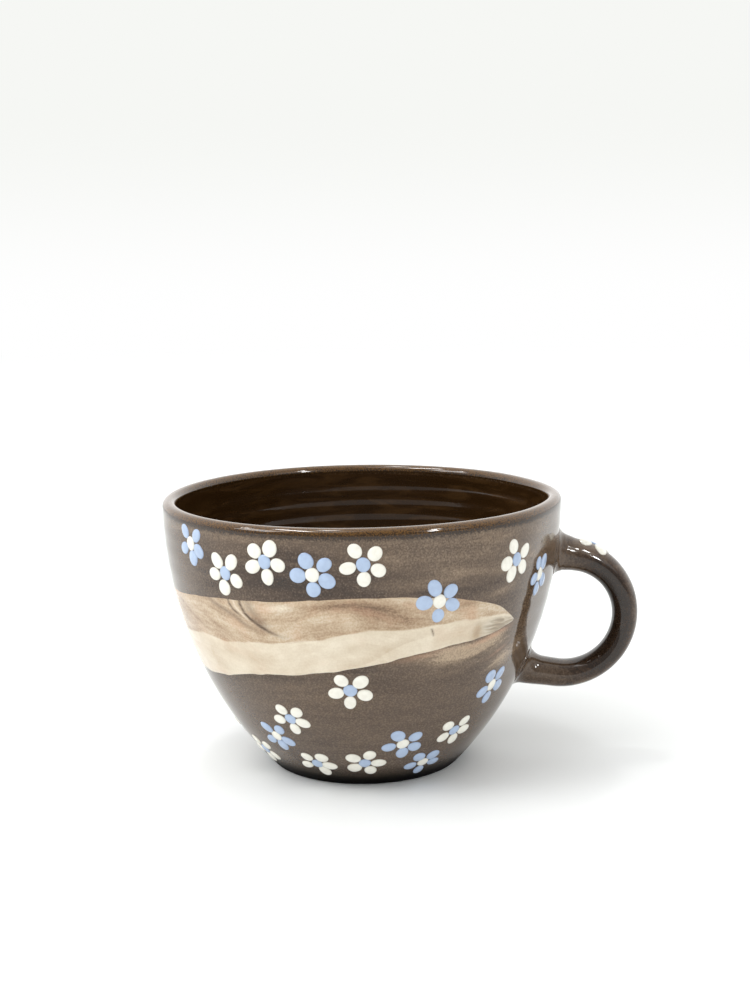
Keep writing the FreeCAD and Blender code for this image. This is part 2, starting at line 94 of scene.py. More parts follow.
class Nodes:
    """The nodes of one tree."""

    def __init__(self, tree: bpy.types.NodeTree) -> None:
        """Starts with an empty tree."""
        self.tree = tree
        tree.nodes.clear()

    def add(self, kind: str, inputs: dict | tuple = (), give: int | str = 0,
            **settings: object) -> Socket | None:
        """Adds a node with its settings and links.

        Args:
            kind: Blender's name of the node type, without "ShaderNode".
            inputs: what its sockets get, by name or number or else in their order: an output to
                link, a value to set, or an sRGB hex code.
            give: name or number of the output to return.
            settings: properties of the node itself.

        Returns:
            The output, or None where the node has none.
        """
        node = self.tree.nodes.new(f"ShaderNode{kind}")
        for name, value in settings.items():
            setattr(node, name, value)
        for key, value in inputs.items() if isinstance(inputs, dict) else enumerate(inputs):
            if isinstance(value, Socket):
                self.tree.links.new(value, node.inputs[key])
            else:
                node.inputs[key].default_value = srgb(value) if isinstance(value, str) else value
        return node.outputs[give] if node.outputs else None


def new_material(name: str) -> tuple[bpy.types.Material, Nodes]:
    """Makes a material with an empty tree.

    Args:
        name: name of the material.

    Returns:
        The material and the nodes of its tree.
    """
    material = bpy.data.materials.new(name)
    material.use_nodes = True
    return material, Nodes(material.node_tree)


def set_stops(ramp: bpy.types.ColorRamp, stops: dict[float, str]) -> None:
    """Puts colours on a ramp.

    Args:
        ramp: a ramp that still has its first two stops.
        stops: hex code at each place from 0 to 1.
    """
    for place in list(stops)[2:]:
        ramp.elements.new(place)
    for element, (place, code) in zip(ramp.elements, sorted(stops.items())):
        element.position = place
        element.color = srgb(code)


def millimetres(nodes: Nodes) -> Socket:
    """The place on the object, in millimetres."""
    place = nodes.add("TexCoord", give="Object")
    return nodes.add("VectorMath", {0: place, "Scale": 1.0 / MM}, operation="SCALE")


@dataclass(frozen=True)
class Pattern:
    """Noise of about 0 to 1, with its cells per millimetre on each axis.

    A small number of cells on one axis draws the pattern out along it. The detail is the number
    of finer octaves, and the pull how far the pattern is dragged about.
    """
    per_mm: tuple[float, float, float]
    detail: float = 3.0
    pull: float = 0.0

    def at(self, nodes: Nodes, place: Socket) -> Socket:
        """Makes the pattern.

        Args:
            nodes: nodes of the material.
            place: the place in millimetres.

        Returns:
            Its value there.
        """
        cell = nodes.add("VectorMath", (place, self.per_mm), operation="MULTIPLY")
        return nodes.add("TexNoise", {
            "Vector": cell, "Scale": 1.0, "Detail": self.detail, "Distortion": self.pull})


# Meshes

def mesh_of_rings(name: str, rings: Points, first: Points, last: Points,
                  fields: dict[str, Points] | None = None) -> bpy.types.Object:
    """Closed shells, each a stack of rings with a pole at both ends.

    Ring k and its points j run so that the way along j crossed with the way along k points out.
    The quads join (k, j), (k, j+1), (k+1, j+1), (k+1, j), with j taken round the ring, and the
    poles close the ends with triangles.

    Args:
        name: name of the object.
        rings: places in millimetres, of shape (shells, rings, points, 3).
        first: the pole before the first ring of each shell, of shape (shells, 3).
        last: the pole after the last ring of each shell, of shape (shells, 3).
        fields: values to store on the points, of shape (shells, rings, points). The poles get
            the mean of the ring beside them.

    Returns:
        The object, smooth shaded, at the origin.
    """
    shells, count, around, _ = rings.shape
    body = shells * count * around
    places = np.concatenate([rings.reshape(-1, 3), first, last]) * MM
    index = np.arange(body).reshape(shells, count, around)
    ahead = np.roll(index, -1, axis=2)
    quads = np.stack([index[:, :-1], ahead[:, :-1], ahead[:, 1:], index[:, 1:]], axis=-1).reshape(-1, 4)
    low = np.broadcast_to((body + np.arange(shells))[:, None], (shells, around))
    high = low + shells
    start = np.stack([low, ahead[:, 0], index[:, 0]], axis=-1).reshape(-1, 3)
    end = np.stack([index[:, -1], ahead[:, -1], high], axis=-1).reshape(-1, 3)
    corners = np.concatenate([quads.ravel(), start.ravel(), end.ravel()]).astype(np.int32)
    sizes = np.concatenate([np.full(len(quads), 4), np.full(len(start) + len(end), 3)])
    starts = np.concatenate([[0], np.cumsum(sizes)[:-1]]).astype(np.int32)
    mesh = bpy.data.meshes.new(name)
    mesh.vertices.add(len(places))
    mesh.vertices.foreach_set("co", places.astype(np.float32).ravel())
    mesh.loops.add(len(corners))
    mesh.loops.foreach_set("vertex_index", corners)
    mesh.polygons.add(len(sizes))
    mesh.polygons.foreach_set("loop_start", starts)
    mesh.polygons.foreach_set("use_smooth", np.ones(len(sizes), dtype=bool))
    mesh.update(calc_edges=True)
    for field_name, values in (fields or {}).items():
        stored = mesh.attributes.new(field_name, "FLOAT", "POINT")
        full = np.concatenate([values.ravel(), values[:, 0].mean(axis=1), values[:, -1].mean(axis=1)])
        stored.data.foreach_set("value", full.astype(np.float32))
    mesh.validate()
    made = bpy.data.objects.new(name, mesh)
    bpy.context.scene.collection.objects.link(made)
    return made


def arc(centre: Pair, radius: float, start: float, end: float, count: int) -> Points:
    """Points of an arc: centre + radius * (cos t, sin t), with t from start to end in degrees."""
    turn = np.radians(np.linspace(start, end, count))
    return np.stack([centre[0] + radius * np.cos(turn), centre[1] + radius * np.sin(turn)], axis=-1)


def soft_corner(before: Pair, at: Pair, after: Pair, reach: float, count: int = 6) -> Points:
    """A corner rounded by a parabola: (1-t)^2 a + 2t(1-t) b + t^2 c, with a and c at reach from b.

    Args:
        before: a point on the line into the corner.
        at: the corner, b.
        after: a point on the line out of it.
        reach: how far from the corner the curve starts and ends.
        count: number of points.

    Returns:
        The points of the curve.
    """
    before, at, after = (np.asarray(point, float) for point in (before, at, after))
    start = at + reach * (before - at) / np.linalg.norm(before - at)
    end = at + reach * (after - at) / np.linalg.norm(after - at)
    t = np.linspace(0.0, 1.0, count)[:, None]
    return (1 - t) ** 2 * start + 2 * t * (1 - t) * at + t ** 2 * end


def smoothstep(values: Points | float, low: float, high: float) -> Points:
    """0 below low, 1 above high, and 3t^2 - 2t^3 between them."""
    t = np.clip((np.asarray(values, float) - low) / (high - low), 0.0, 1.0)
    return t * t * (3.0 - 2.0 * t)


def smooth_line(points: list[Pair], at: Points) -> Points:
    """Height of a smooth line through points.

    Between two points the height goes by the cubic whose slopes are the mean slopes of the
    neighbouring spans, so the line has no corners.

    Args:
        points: (azimuth, height) of each point.
        at: azimuths.

    Returns:
        The line's height at each azimuth.
    """
    xs, ys = np.array(sorted(points), float).T
    slope = np.gradient(ys, xs)
    span = np.clip(np.searchsorted(xs, at) - 1, 0, len(xs) - 2)
    width = xs[span + 1] - xs[span]
    t = np.clip((at - xs[span]) / width, 0.0, 1.0)
    return ((2 * t ** 3 - 3 * t ** 2 + 1) * ys[span] + (t ** 3 - 2 * t ** 2 + t) * width * slope[span]
            + (3 * t ** 2 - 2 * t ** 3) * ys[span + 1] + (t ** 3 - t ** 2) * width * slope[span + 1])


# Decoration

class Slip(enum.Enum):
    """The two slips that the flowers are dotted with."""
    CREAM = "cream"
    BLUE = "blue"

    @property
    def other(self) -> "Slip":
        """The slip of the heart of a flower whose petals have this one."""
        return Slip.BLUE if self is Slip.CREAM else Slip.CREAM


@dataclass(frozen=True)
class Flower:
    """Five petals round a heart, dotted by hand, so each has its own angle and size."""
    azimuth: float
    height: float
    slip: Slip
    angles: tuple[float, ...] = (18.0, 90.0, 162.0, 234.0, 306.0)
    share: float = 1.0


C, B = Slip.CREAM, Slip.BLUE
FLOWERS = [
    Flower(-143.4, 67.8, B, (131, 40, -154, -24, -80)),
    Flower(-129.5, 61.9, C, (130, 53, -170, -25, -102)),
    Flower(-116.3, 66.1, C, (137, 65, -157, -9, -81)),
    Flower(-103.2, 63.5, B, (113, 41, -176, -22, -88)),
    Flower(-90.0, 66.2, C, (120, 43, -167, -22, -88)),
    Flower(-69.6, 55.7, B, (111, 40, -179, -19, -93)),
    Flower(-43.9, 63.3, C, (115, 26, -172, -40, -116)),
    Flower(-27.6, 56.4, B, (117, 54, -171, -34, -102)),
    Flower(-94.6, 32.3, C, (124, 45, -166, -22, -93)),
    Flower(-41.8, 28.1, B, (122, 50, -159, -16, -92)),
    Flower(-117.4, 22.2, C, (121, 48, -168, -16, -84), 0.92),
    Flower(-128.1, 15.3, B, (128, 54, -145, -23, -82), 0.92),
    Flower(-53.1, 16.3, C, (140, 51, -10, -147, -73), 0.92),
    Flower(-75.3, 14.6, B, (116, 39, -166, -25, -84), 0.97),
    Flower(-62.1, 6.8, B, (124, 50, -11, -166, -93), 0.9),
    Flower(-90.7, 8.5, C, (143, 71, -1, -143, -65), 0.94),
    Flower(-113.5, 7.4, C, (131, 57, -162, -8, -65), 0.9),
    Flower(-146.0, 7.9, C, (43, 115, -173, -101, -29), 0.9),
    Flower(26.0, 58.5, B, (24, 96, 168, -120, -48)),
    Flower(50.0, 65.5, C, (14, 85, 153, -133, -60)),
    Flower(78.0, 62.5, B, (21, 96, 163, -122, -53)),
    Flower(108.0, 66.0, C, (30, 99, 174, -118, -43)),
    Flower(138.0, 62.5, B, (11, 86, 158, -130, -60)),
    Flower(168.0, 65.5, C, (22, 90, 166, -127, -50)),
    Flower(62.0, 31.0, C, (26, 99, 168, -116, -46)),
    Flower(152.0, 22.5, B, (9, 80, 151, -135, -65), 0.95),
    Flower(6.0, 10.0, C, (22, 94, 167, -123, -49), 0.92),
    Flower(42.0, 8.0, B, (13, 83, 158, -131, -61), 0.92),
    Flower(80.0, 13.0, C, (29, 103, 176, -115, -43), 0.95),
    Flower(116.0, 8.0, B, (18, 91, 163, -127, -53), 0.92),
    Flower(-174.0, 12.0, C, (11, 81, 153, -133, -61), 0.92),
]
# On the handle the two places are the angle on its ring and how far the heart is set back
HANDLE_FLOWER = Flower(67.0, 1.7, C, (-9, 62, 136, 209, 282))


@dataclass(frozen=True)
class DotSizes:
    """Sizes of a dot of slip, in millimetres."""
    petal: float = 1.99
    heart: float = 1.84
    reach: float = 3.84
    rise: float = 0.42
    sink: float = 0.5
    oval: float = 1.09
    around: int = 28
    steps: int = 9


@dataclass
class DotField:
    """All dots of one slip, as low domes that follow the surface they sit on."""
    sizes: DotSizes
    spots: list[tuple[FrameAt, float, float, float, float]] = field(default_factory=list)

    def put(self, frame_at: FrameAt, angle: float, reach: float, radius: float, oval: float) -> None:
        """Adds a dot.

        Args:
            frame_at: the surface round the flower.
            angle: direction of the dot from the flower's heart, in radians.
            reach: distance from the heart.
            radius: mean radius of the dot.
            oval: its length along that direction over its width.
        """
        self.spots.append((frame_at, angle, reach, radius, oval))

    def build(self, name: str) -> bpy.types.Object:
        """Makes the domes.

        Over each dot, the height above the surface is rise * (1 - q^2.6)^0.62 with q from 0 at the
        top to 1 at the edge, and a last ring lies under the surface. A dot's ring is stretched
        along its direction from the heart.

        Args:
            name: name of the piece.

        Returns:
            The piece, with all dots of the slip.
        """
        s = self.sizes
        q = np.sin(np.linspace(0.06, 1.0, s.steps) * np.pi / 2.0)[::-1]
        t = 2.0 * np.pi * np.arange(s.around) / s.around
        rings, tops, feet, crowns = [], [], [], []
        for number, (frame_at, angle, reach, radius, oval) in enumerate(self.spots):
            ripple = 1.0 + 0.02 * np.sin(2 * t + number) + 0.012 * np.sin(3 * t + 2.0 * number)
            long, wide = radius * math.sqrt(oval) * ripple, radius / math.sqrt(oval) * ripple
            spread = np.concatenate([[0.93], q])[:, None]
            a = reach + spread * long * np.cos(t)
            b = spread * wide * np.sin(t)
            across = a * math.cos(angle) - b * math.sin(angle)
            up = a * math.sin(angle) + b * math.cos(angle)
            place, _, _, outward = frame_at(across, up)
            dome = s.rise * np.clip(1.0 - spread ** 2.6, 0.0, 1.0) ** 0.62
            dome[0] = -s.sink
            dome[1] = -0.06
            rings.append(place + outward * dome[..., None])
            centre = [np.array([reach * math.cos(angle)]), np.array([reach * math.sin(angle)])]
            place, _, _, outward = frame_at(*centre)
            tops.append(place[0] + outward[0] * s.rise)
            feet.append(place[0] - outward[0] * s.sink)
            crowns.append(np.broadcast_to(1.0 - np.concatenate([[1.0], q])[:, None], a.shape))
        return mesh_of_rings(
            name, np.array(rings), np.array(feet), np.array(tops), {"crown": np.array(crowns)})


BAND_UPPER = [
    (-40.5, 46.6), (-47.0, 50.8), (-57.5, 54.4), (-76.0, 57.3), (-96.0, 57.5), (-114.0, 56.1),
    (-137.0, 54.6), (-161.0, 52.3), (-190.0, 51.8), (-220.0, 53.2), (-248.0, 53.8), (-270.0, 51.8),
    (-285.0, 48.6)]
BAND_LOWER = [
    (-40.5, 46.6), (-52.0, 44.2), (-60.0, 43.6), (-74.0, 42.0), (-88.0, 39.3), (-110.0, 36.2),
    (-128.0, 34.3), (-138.0, 32.4), (-163.0, 30.4), (-195.0, 32.0), (-225.0, 36.4), (-258.0, 43.0),
    (-285.0, 48.6)]
# Where the tan clay of the band ends and the cream clay begins
TAN_EDGE = [
    (-300.0, 47.0), (-270.0, 47.2), (-240.0, 45.0), (-210.0, 42.0), (-180.0, 41.4), (-157.0, 41.9),
    (-147.0, 43.2), (-136.0, 42.9), (-128.0, 43.6), (-122.0, 44.3), (-114.0, 44.9), (-108.0, 45.7),
    (-102.0, 46.6), (-95.0, 48.2), (-88.0, 49.3), (-80.0, 49.1), (-70.0, 49.5), (-54.0, 49.7),
    (-47.0, 49.4), (-40.0, 48.0)]
# Slanting seam in the cream clay, with greyer clay above it
SEAM = [
    (-110.0, 36.6), (-92.0, 39.4), (-87.0, 41.0), (-84.0, 42.7), (-80.0, 44.6), (-75.0, 46.0),
    (-64.0, 47.2)]
# Where the pale wash under the lip ends
WASH_EDGE = [
    (-200.0, 68.0), (-170.0, 69.6), (-138.0, 70.6), (-117.0, 70.3), (-106.0, 70.0), (-96.0, 68.2),
    (-87.0, 65.0), (-74.0, 63.4), (-58.0, 61.2), (-40.0, 60.4), (-15.0, 60.5), (20.0, 63.0),
    (60.0, 66.0), (110.0, 69.0), (150.0, 68.0), (190.0, 69.0)]


@dataclass(frozen=True)
class Stroke:
    """A soft field of colour on the wall: an ellipse that fades to its edge and may slant."""
    azimuth: float
    height: float
    half_long: float
    half_high: float
    slant: float
    amount: float


# How pale the brushed slip is, over the dark clay outside the band
VEIL = [
    Stroke(-59.0, 40.6, 17.0, 2.6, 0.10, 0.66), Stroke(-42.0, 36.0, 9.0, 3.6, 0.22, 0.48),
    Stroke(-48.0, 43.4, 8.0, 1.5, 0.18, 0.34), Stroke(-45.0, 38.4, 7.0, 0.5, 0.30, -0.16),
    Stroke(-58.0, 38.2, 8.0, 0.5, 0.16, -0.10), Stroke(-64.0, 36.6, 11.0, 2.2, 0.10, 0.12),
    Stroke(-106.0, 30.4, 16.0, 4.6, 0.0, 0.17), Stroke(-80.0, 29.5, 34.0, 6.5, 0.02, 0.10),
    Stroke(-76.0, 17.0, 60.0, 8.0, 0.0, 0.07),
    Stroke(-66.0, 42.0, 12.0, 1.6, 0.11, 0.30),
    Stroke(-50.0, 40.2, 6.0, 0.35, 0.28, -0.22), Stroke(-46.0, 35.0, 6.0, 0.45, 0.34, 0.26),
    Stroke(-44.0, 41.6, 5.0, 0.40, 0.30, 0.24), Stroke(-56.0, 36.6, 6.0, 0.45, 0.20, 0.20),
    Stroke(-70.0, 40.2, 5.0, 0.45, 0.14, -0.14), Stroke(-31.0, 43.0, 8.0, 13.0, 0.0, 0.18),
    Stroke(-82.0, 35.4, 10.0, 2.0, 0.12, -0.12), Stroke(-98.0, 20.0, 18.0, 3.4, -0.02, 0.08),
    Stroke(-78.0, 60.4, 9.0, 2.4, 0.05, 0.24), Stroke(-66.0, 61.0, 12.0, 1.6, 0.05, 0.22),
    Stroke(-50.0, 60.6, 8.0, 1.8, 0.10, 0.22), Stroke(-48.0, 56.0, 7.0, 1.5, 0.15, 0.40),
    Stroke(-60.0, 58.0, 8.0, 0.7, 0.05, -0.10), Stroke(-72.0, 58.6, 8.0, 0.5, 0.05, -0.14),
    Stroke(-110.0, 60.5, 34.0, 4.5, 0.0, -0.20), Stroke(-106.0, 68.9, 11.0, 1.9, 0.0, -0.13),
    Stroke(-50.0, 52.6, 6.0, 1.6, 0.10, -0.05), Stroke(-148.0, 62.0, 10.0, 6.0, 0.0, 0.12),
    Stroke(40.0, 44.0, 20.0, 2.2, -0.05, 0.34), Stroke(30.0, 36.0, 24.0, 1.6, 0.06, 0.26),
    Stroke(70.0, 40.0, 16.0, 1.4, -0.08, 0.30), Stroke(120.0, 30.0, 30.0, 2.4, 0.04, 0.20),
    Stroke(160.0, 58.0, 30.0, 2.0, 0.0, -0.14), Stroke(100.0, 22.0, 26.0, 2.0, -0.03, 0.14)]
# Where the slip blushes pink
BLUSH = [
    Stroke(-50.0, 43.7, 7.0, 0.55, 0.19, 0.75), Stroke(-45.0, 38.8, 4.0, 0.40, 0.30, 0.45),
    Stroke(-74.0, 41.2, 7.0, 0.7, 0.13, 0.35)]
# How pale the clay of the band is, over its two parts
TONE = [
    Stroke(-150.0, 50.5, 8.0, 4.0, 0.0, 0.02), Stroke(-149.0, 47.8, 8.0, 0.6, -0.35, -0.16),
    Stroke(-143.0, 48.4, 7.0, 0.6, -0.35, 0.04), Stroke(-139.0, 48.2, 7.0, 0.7, -0.35, -0.14),
    Stroke(-133.0, 48.0, 6.0, 0.8, -0.30, 0.06), Stroke(-125.0, 45.8, 8.0, 0.9, -0.14, -0.08),
    Stroke(-113.0, 54.2, 6.0, 1.6, 0.0, 0.24), Stroke(-110.0, 49.4, 5.0, 1.4, 0.05, 0.02),
    Stroke(-101.0, 55.0, 6.0, 1.0, 0.10, -0.11), Stroke(-93.0, 55.2, 8.0, 1.3, 0.0, -0.26),
    Stroke(-85.0, 54.0, 6.0, 1.6, -0.05, -0.26), Stroke(-77.0, 51.4, 7.0, 1.6, -0.05, -0.15),
    Stroke(-80.0, 56.4, 5.0, 0.8, 0.0, 0.10), Stroke(-97.0, 51.6, 8.0, 1.4, 0.05, 0.10),
    Stroke(-62.0, 54.4, 6.0, 1.2, -0.05, -0.10), Stroke(-50.0, 51.2, 7.0, 1.3, -0.28, 0.14),
    Stroke(-44.0, 48.8, 4.0, 1.0, -0.28, 0.02), Stroke(-122.0, 39.6, 7.0, 2.4, 0.0, -0.10),
    Stroke(-142.0, 39.0, 4.0, 4.0, 0.0, -0.08), Stroke(-134.0, 40.0, 4.0, 3.0, 0.0, -0.12),
    Stroke(-146.0, 38.0, 12.0, 6.0, 0.0, -0.06), Stroke(-101.0, 44.6, 5.0, 1.6, 0.0, 0.08),
    Stroke(-94.0, 44.0, 4.0, 1.2, 0.2, -0.12), Stroke(-61.0, 45.6, 7.0, 2.4, 0.0, -0.14),
    Stroke(-56.5, 46.0, 1.6, 2.2, 0.0, -0.30), Stroke(-52.4, 46.6, 1.6, 1.8, 0.10, 0.30),
    Stroke(-49.0, 46.8, 1.8, 1.8, 0.10, -0.16),
    Stroke(-200.0, 48.0, 18.0, 2.0, -0.04, -0.20), Stroke(-232.0, 49.6, 16.0, 1.6, 0.03, -0.16),
    Stroke(-176.0, 46.0, 14.0, 2.0, 0.05, 0.12), Stroke(-215.0, 38.6, 14.0, 2.0, 0.05, -0.10)]


@dataclass(frozen=True)
class Fold:
    """A line where the clays of the band fold over each other: a path with a soft width."""
    path: tuple[tuple[float, float], ...]
    half_wide: float
    ink: float


FOLDS = [
    Fold(((-138.0, 54.6), (-136.0, 53.4), (-132.2, 52.3), (-128.2, 50.9), (-125.1, 48.9),
          (-121.0, 47.7), (-117.0, 46.7)), 0.66, 0.50),
    Fold(((-130.2, 56.0), (-129.6, 54.2), (-128.5, 52.7), (-126.4, 51.5), (-124.5, 50.3)), 0.36, 0.85),
    Fold(((-125.8, 56.4), (-125.6, 54.2), (-124.4, 52.1), (-122.6, 50.5), (-119.9, 49.0),
          (-116.9, 47.7), (-113.5, 46.7), (-108.5, 46.4)), 0.48, 0.92),
    Fold(((-123.4, 56.2), (-122.4, 53.6), (-120.8, 51.4), (-118.0, 49.2), (-114.0, 47.6)), 1.35, 0.42),
    Fold(((-128.2, 55.6), (-127.3, 53.2), (-125.2, 51.6), (-122.9, 50.0), (-120.0, 48.6)), 0.30, -0.60),
    Fold(((-71.3, 48.5), (-70.9, 47.6), (-70.6, 46.2)), 0.22, 0.95),
    Fold(((-168.0, 52.0), (-171.0, 49.0), (-178.0, 46.6), (-190.0, 45.0)), 0.50, 0.60),
    Fold(((-238.0, 53.0), (-232.0, 51.4), (-222.0, 50.2), (-208.0, 50.0)), 0.55, 0.50),
]
# Millimetres round the cup in one degree, at the mean radius of the band
PER_DEGREE = math.radians(52.0)


def folded(folds: list[Fold], azimuth: Points, height: Points) -> Points:
    """The ink of all folds: ink * exp(-(d / half_wide)^2), with d the distance from the path.

    The distance is taken to every straight piece of a path at once, in millimetres on the
    unrolled wall, and the least one counts. The ink fades over the last part of the path.

    Args:
        folds: the folds.
        azimuth: angles round the cup, in degrees.
        height: heights, in millimetres.

    Returns:
        The sum at each place.
    """
    at = np.stack([azimuth * PER_DEGREE, height], axis=-1)[..., None, :]
    total = np.zeros_like(azimuth)
    for fold in folds:
        corners = np.array(fold.path) * (PER_DEGREE, 1.0)
        start, way = corners[:-1], corners[1:] - corners[:-1]
        share = np.clip(np.sum((at - start) * way, axis=-1) / np.sum(way * way, axis=-1), 0.0, 1.0)
        apart = np.linalg.norm(at - start - share[..., None] * way, axis=-1)
        nearest = apart.argmin(axis=-1)[..., None]
        along = (nearest + np.take_along_axis(share, nearest, axis=-1))[..., 0] / len(way)
        fade = 1.0 - smoothstep(along, 0.6, 1.0)
        total = total + fold.ink * fade * np.exp(-(apart.min(axis=-1) / fold.half_wide) ** 2)
    return total


def painted(strokes: list[Stroke], azimuth: Points, height: Points) -> Points:
    """The sum of the strokes: amount * exp(-(u^2 + v^2)) with u, v the slanted offsets.

    Args:
        strokes: the strokes.
        azimuth: angles round the cup, in degrees.
        height: heights, in millimetres.

    Returns:
        The sum at each place.
    """
    total = np.zeros_like(azimuth)
    for stroke in strokes:
        along = (azimuth - stroke.azimuth + 540.0) % 360.0 - 180.0
        u = along / stroke.half_long
        v = (height - stroke.height - stroke.slant * along) / stroke.half_high
        total = total + stroke.amount * np.exp(-(u * u + v * v))
    return total


# Finishes

def under_glaze(nodes: Nodes, colour: Socket, roughness: Socket | float, wave: Socket,
                strength: float = 0.6) -> Socket:
    """A colour under clear glaze, whose surface waves a little, as the peel of an orange does.

    Args:
        nodes: nodes of the material.
        colour: what lies under the glaze.
        roughness: roughness of the glaze.
        wave: height of the waves, from 0 to 1, which stand for 0.03 mm.
        strength: how much of the waves shows.

    Returns:
        The shader.
    """
    bump = nodes.add("Bump", {"Strength": strength, "Distance": 0.03 * MM, "Height": wave})
    return nodes.add("BsdfPrincipled", {
        "Base Color": colour, "Roughness": roughness, "Normal": bump, "IOR": 1.5})


@dataclass(frozen=True)
class BrownGlaze:
    """Clear gloss glaze over dark brown stoneware with brushed slip.

    The dark, faintly speckled clay shows through a glassy coat, which gives the eye a sharp
    mirror of bright surroundings. The slip lies in soft level strokes, and at the lip, where the
    glaze runs thin, the clay breaks to a golden brown with dark specks; this lip band, darkest at
    its lower edge, is partly a painted dark reflection. Towards the foot the finish turns dull,
    which takes the shine away, and the colour darkens to near black, which is painted contact
    shade. The handle is darkest inside its ring, and its outer side is left paler, which is a
    painted sheen.
    """
    ramp: dict[float, str] = field(default_factory=lambda: {
        0.0: "#21150c", 0.2: "#3b2a1d", 0.36: "#564536", 0.62: "#655342", 0.8: "#84705b",
        1.0: "#b09a80"})
    # The lip colour and its specks below are partly the glaze breaking golden brown and partly a painted
    # dark reflection in the rounded lip.
    lip: str = "#5f421d"
    lip_fleck: str = "#20140a"
    inside: str = "#2e1d0c"
    inside_pale: str = "#432e18"
    # Near-black colour of the foot: painted contact shade.
    painted_foot_shade: str = "#040302"
    speck: str = "#33271d"
    sparkle: str = "#a8957f"
    blush: str = "#c09678"
    lip_height: float = 72.3
    lip_top: float = 74.4
    # Heights in millimetres where the foot's painted contact shade begins and where it is full.
    foot_shade_top: float = 8.6
    foot_shade_full: float = 1.2
    roughness: float = 0.06
    dry_roughness: float = 0.6
    dry_specular: float = 0.04
    ring_centre: tuple[float, float, float] = (56.1, 0.0, 39.6)
    grain: Pattern = Pattern((1.9, 1.9, 1.9))
    dust: Pattern = Pattern((2.3, 2.3, 2.3), 2.0)
    fleck: Pattern = Pattern((2.9, 2.9, 2.9))
    cloud: Pattern = Pattern((0.09, 0.09, 0.09))
    mottle: Pattern = Pattern((0.45, 0.45, 0.45), 4.0, 0.6)
    peel: Pattern = Pattern((0.35, 0.35, 0.35), 2.0)
    brush: Pattern = Pattern((0.05, 0.05, 0.42), 4.0, 0.9)
    rub: Pattern = Pattern((0.05, 0.05, 0.32), 5.0, 1.4)

    def make(self, name: str, on_cup: bool) -> bpy.types.Material:
        """Builds the material.

        Args:
            name: name of the material.
            on_cup: whether it is for the cup, whose mesh carries fields, or for the handle.

        Returns:
            The material.
        """
        material, nodes = new_material(name)
        add = nodes.add
        place = millimetres(nodes)
        grain, cloud, brush, dust, peel = (
            pattern.at(nodes, place)
            for pattern in (self.grain, self.cloud, self.brush, self.dust, self.peel))
        marks, dark, light = (0.10, 0.36, 0.15) if on_cup else (0.0, 0.24, 0.05)
        if on_cup:
            slip = add("Attribute", give="Fac", attribute_name="veil")
        else:
            slip = self.slip_and_sheen_on_handle(nodes, place)
        for part in ((brush, 0.25, 0.75, -marks, marks), (cloud, 0.3, 0.7, -0.05, 0.05),
                     (grain, 0.25, 0.75, -0.085, 0.085)):
            slip = add("Math", (slip, add("MapRange", part, **SOFT)), operation="ADD")
        colour = add("ValToRGB", (slip,))
        set_stops(colour.node.color_ramp, self.ramp)
        for part, tint in (((dust, 0.38, 0.66, 0.0, dark), self.speck),
                           ((dust, 0.48, 0.30, 0.0, light), self.sparkle)):
            share = add("MapRange", part, **SOFT)
            colour = add("Mix", {0: share, 6: colour, 7: tint}, 2, **COLOURS)
        rough = add("MapRange", (cloud, 0.3, 0.7, self.roughness * 0.8, self.roughness * 1.5), **SOFT)
        wave = add("Math", (brush, 0.35, peel), operation="MULTIPLY_ADD")
        if on_cup:
            up = add("SeparateXYZ", (place,), "Z")
            # Share of the foot's painted contact shade and dull finish, rising towards the base.
            foot = add("MapRange", (up, self.foot_shade_top, self.foot_shade_full), **SOFT)
            colour = self.lip_inside_and_foot(nodes, place, grain, colour, foot)
            thin = add("MapRange", (up, self.lip_height, self.lip_top, 0.0, 0.12), **SOFT)
            dry = add("BsdfPrincipled", {
                "Base Color": colour, "Roughness": self.dry_roughness,
                "Specular IOR Level": self.dry_specular})
            share = add("Math", (foot, thin), operation="MAXIMUM")
            shader = add("MixShader", (share, under_glaze(nodes, colour, rough, wave), dry))
        else:
            shader = under_glaze(nodes, colour, rough, wave)
        add("OutputMaterial", {"Surface": shader})
        return material

    def slip_and_sheen_on_handle(self, nodes: Nodes, place: Socket) -> Socket:
        """How pale the slip is on the handle.

        It fades away from the wall in two steps, so that the joints match the cup. On the outer side
        of the ring it comes back by the distance from the ring's centre, which is a painted sheen.

        Args:
            nodes: nodes of the material.
            place: the place in millimetres.

        Returns:
            The share of slip and painted sheen, 0 for none.
        """
        add = nodes.add
        out = add("SeparateXYZ", (place,), "X")
        away = add("VectorMath", (place, self.ring_centre), operation="SUBTRACT")
        away = add("VectorMath", (away, (1.0, 0.0, 1.0)), operation="MULTIPLY")
        away = add("VectorMath", (away,), "Value", operation="LENGTH")
        # The paler outer side of the ring is a painted sheen.
        outer = add("MapRange", (away, 17.2, 20.2, 0.0, 0.36), **SOFT)
        slip = add("Math", (outer, add("MapRange", (out, 57.0, 61.0), **SOFT)), operation="MULTIPLY")
        mottle = self.mottle.at(nodes, place)
        for part in ((mottle, 0.3, 0.7, -0.09, 0.09), (out, 57.0, 70.0, 0.23, -0.05),
                     (out, 54.0, 59.5, 0.13, 0.0)):
            slip = add("Math", (slip, add("MapRange", part, **SOFT)), operation="ADD")
        return slip

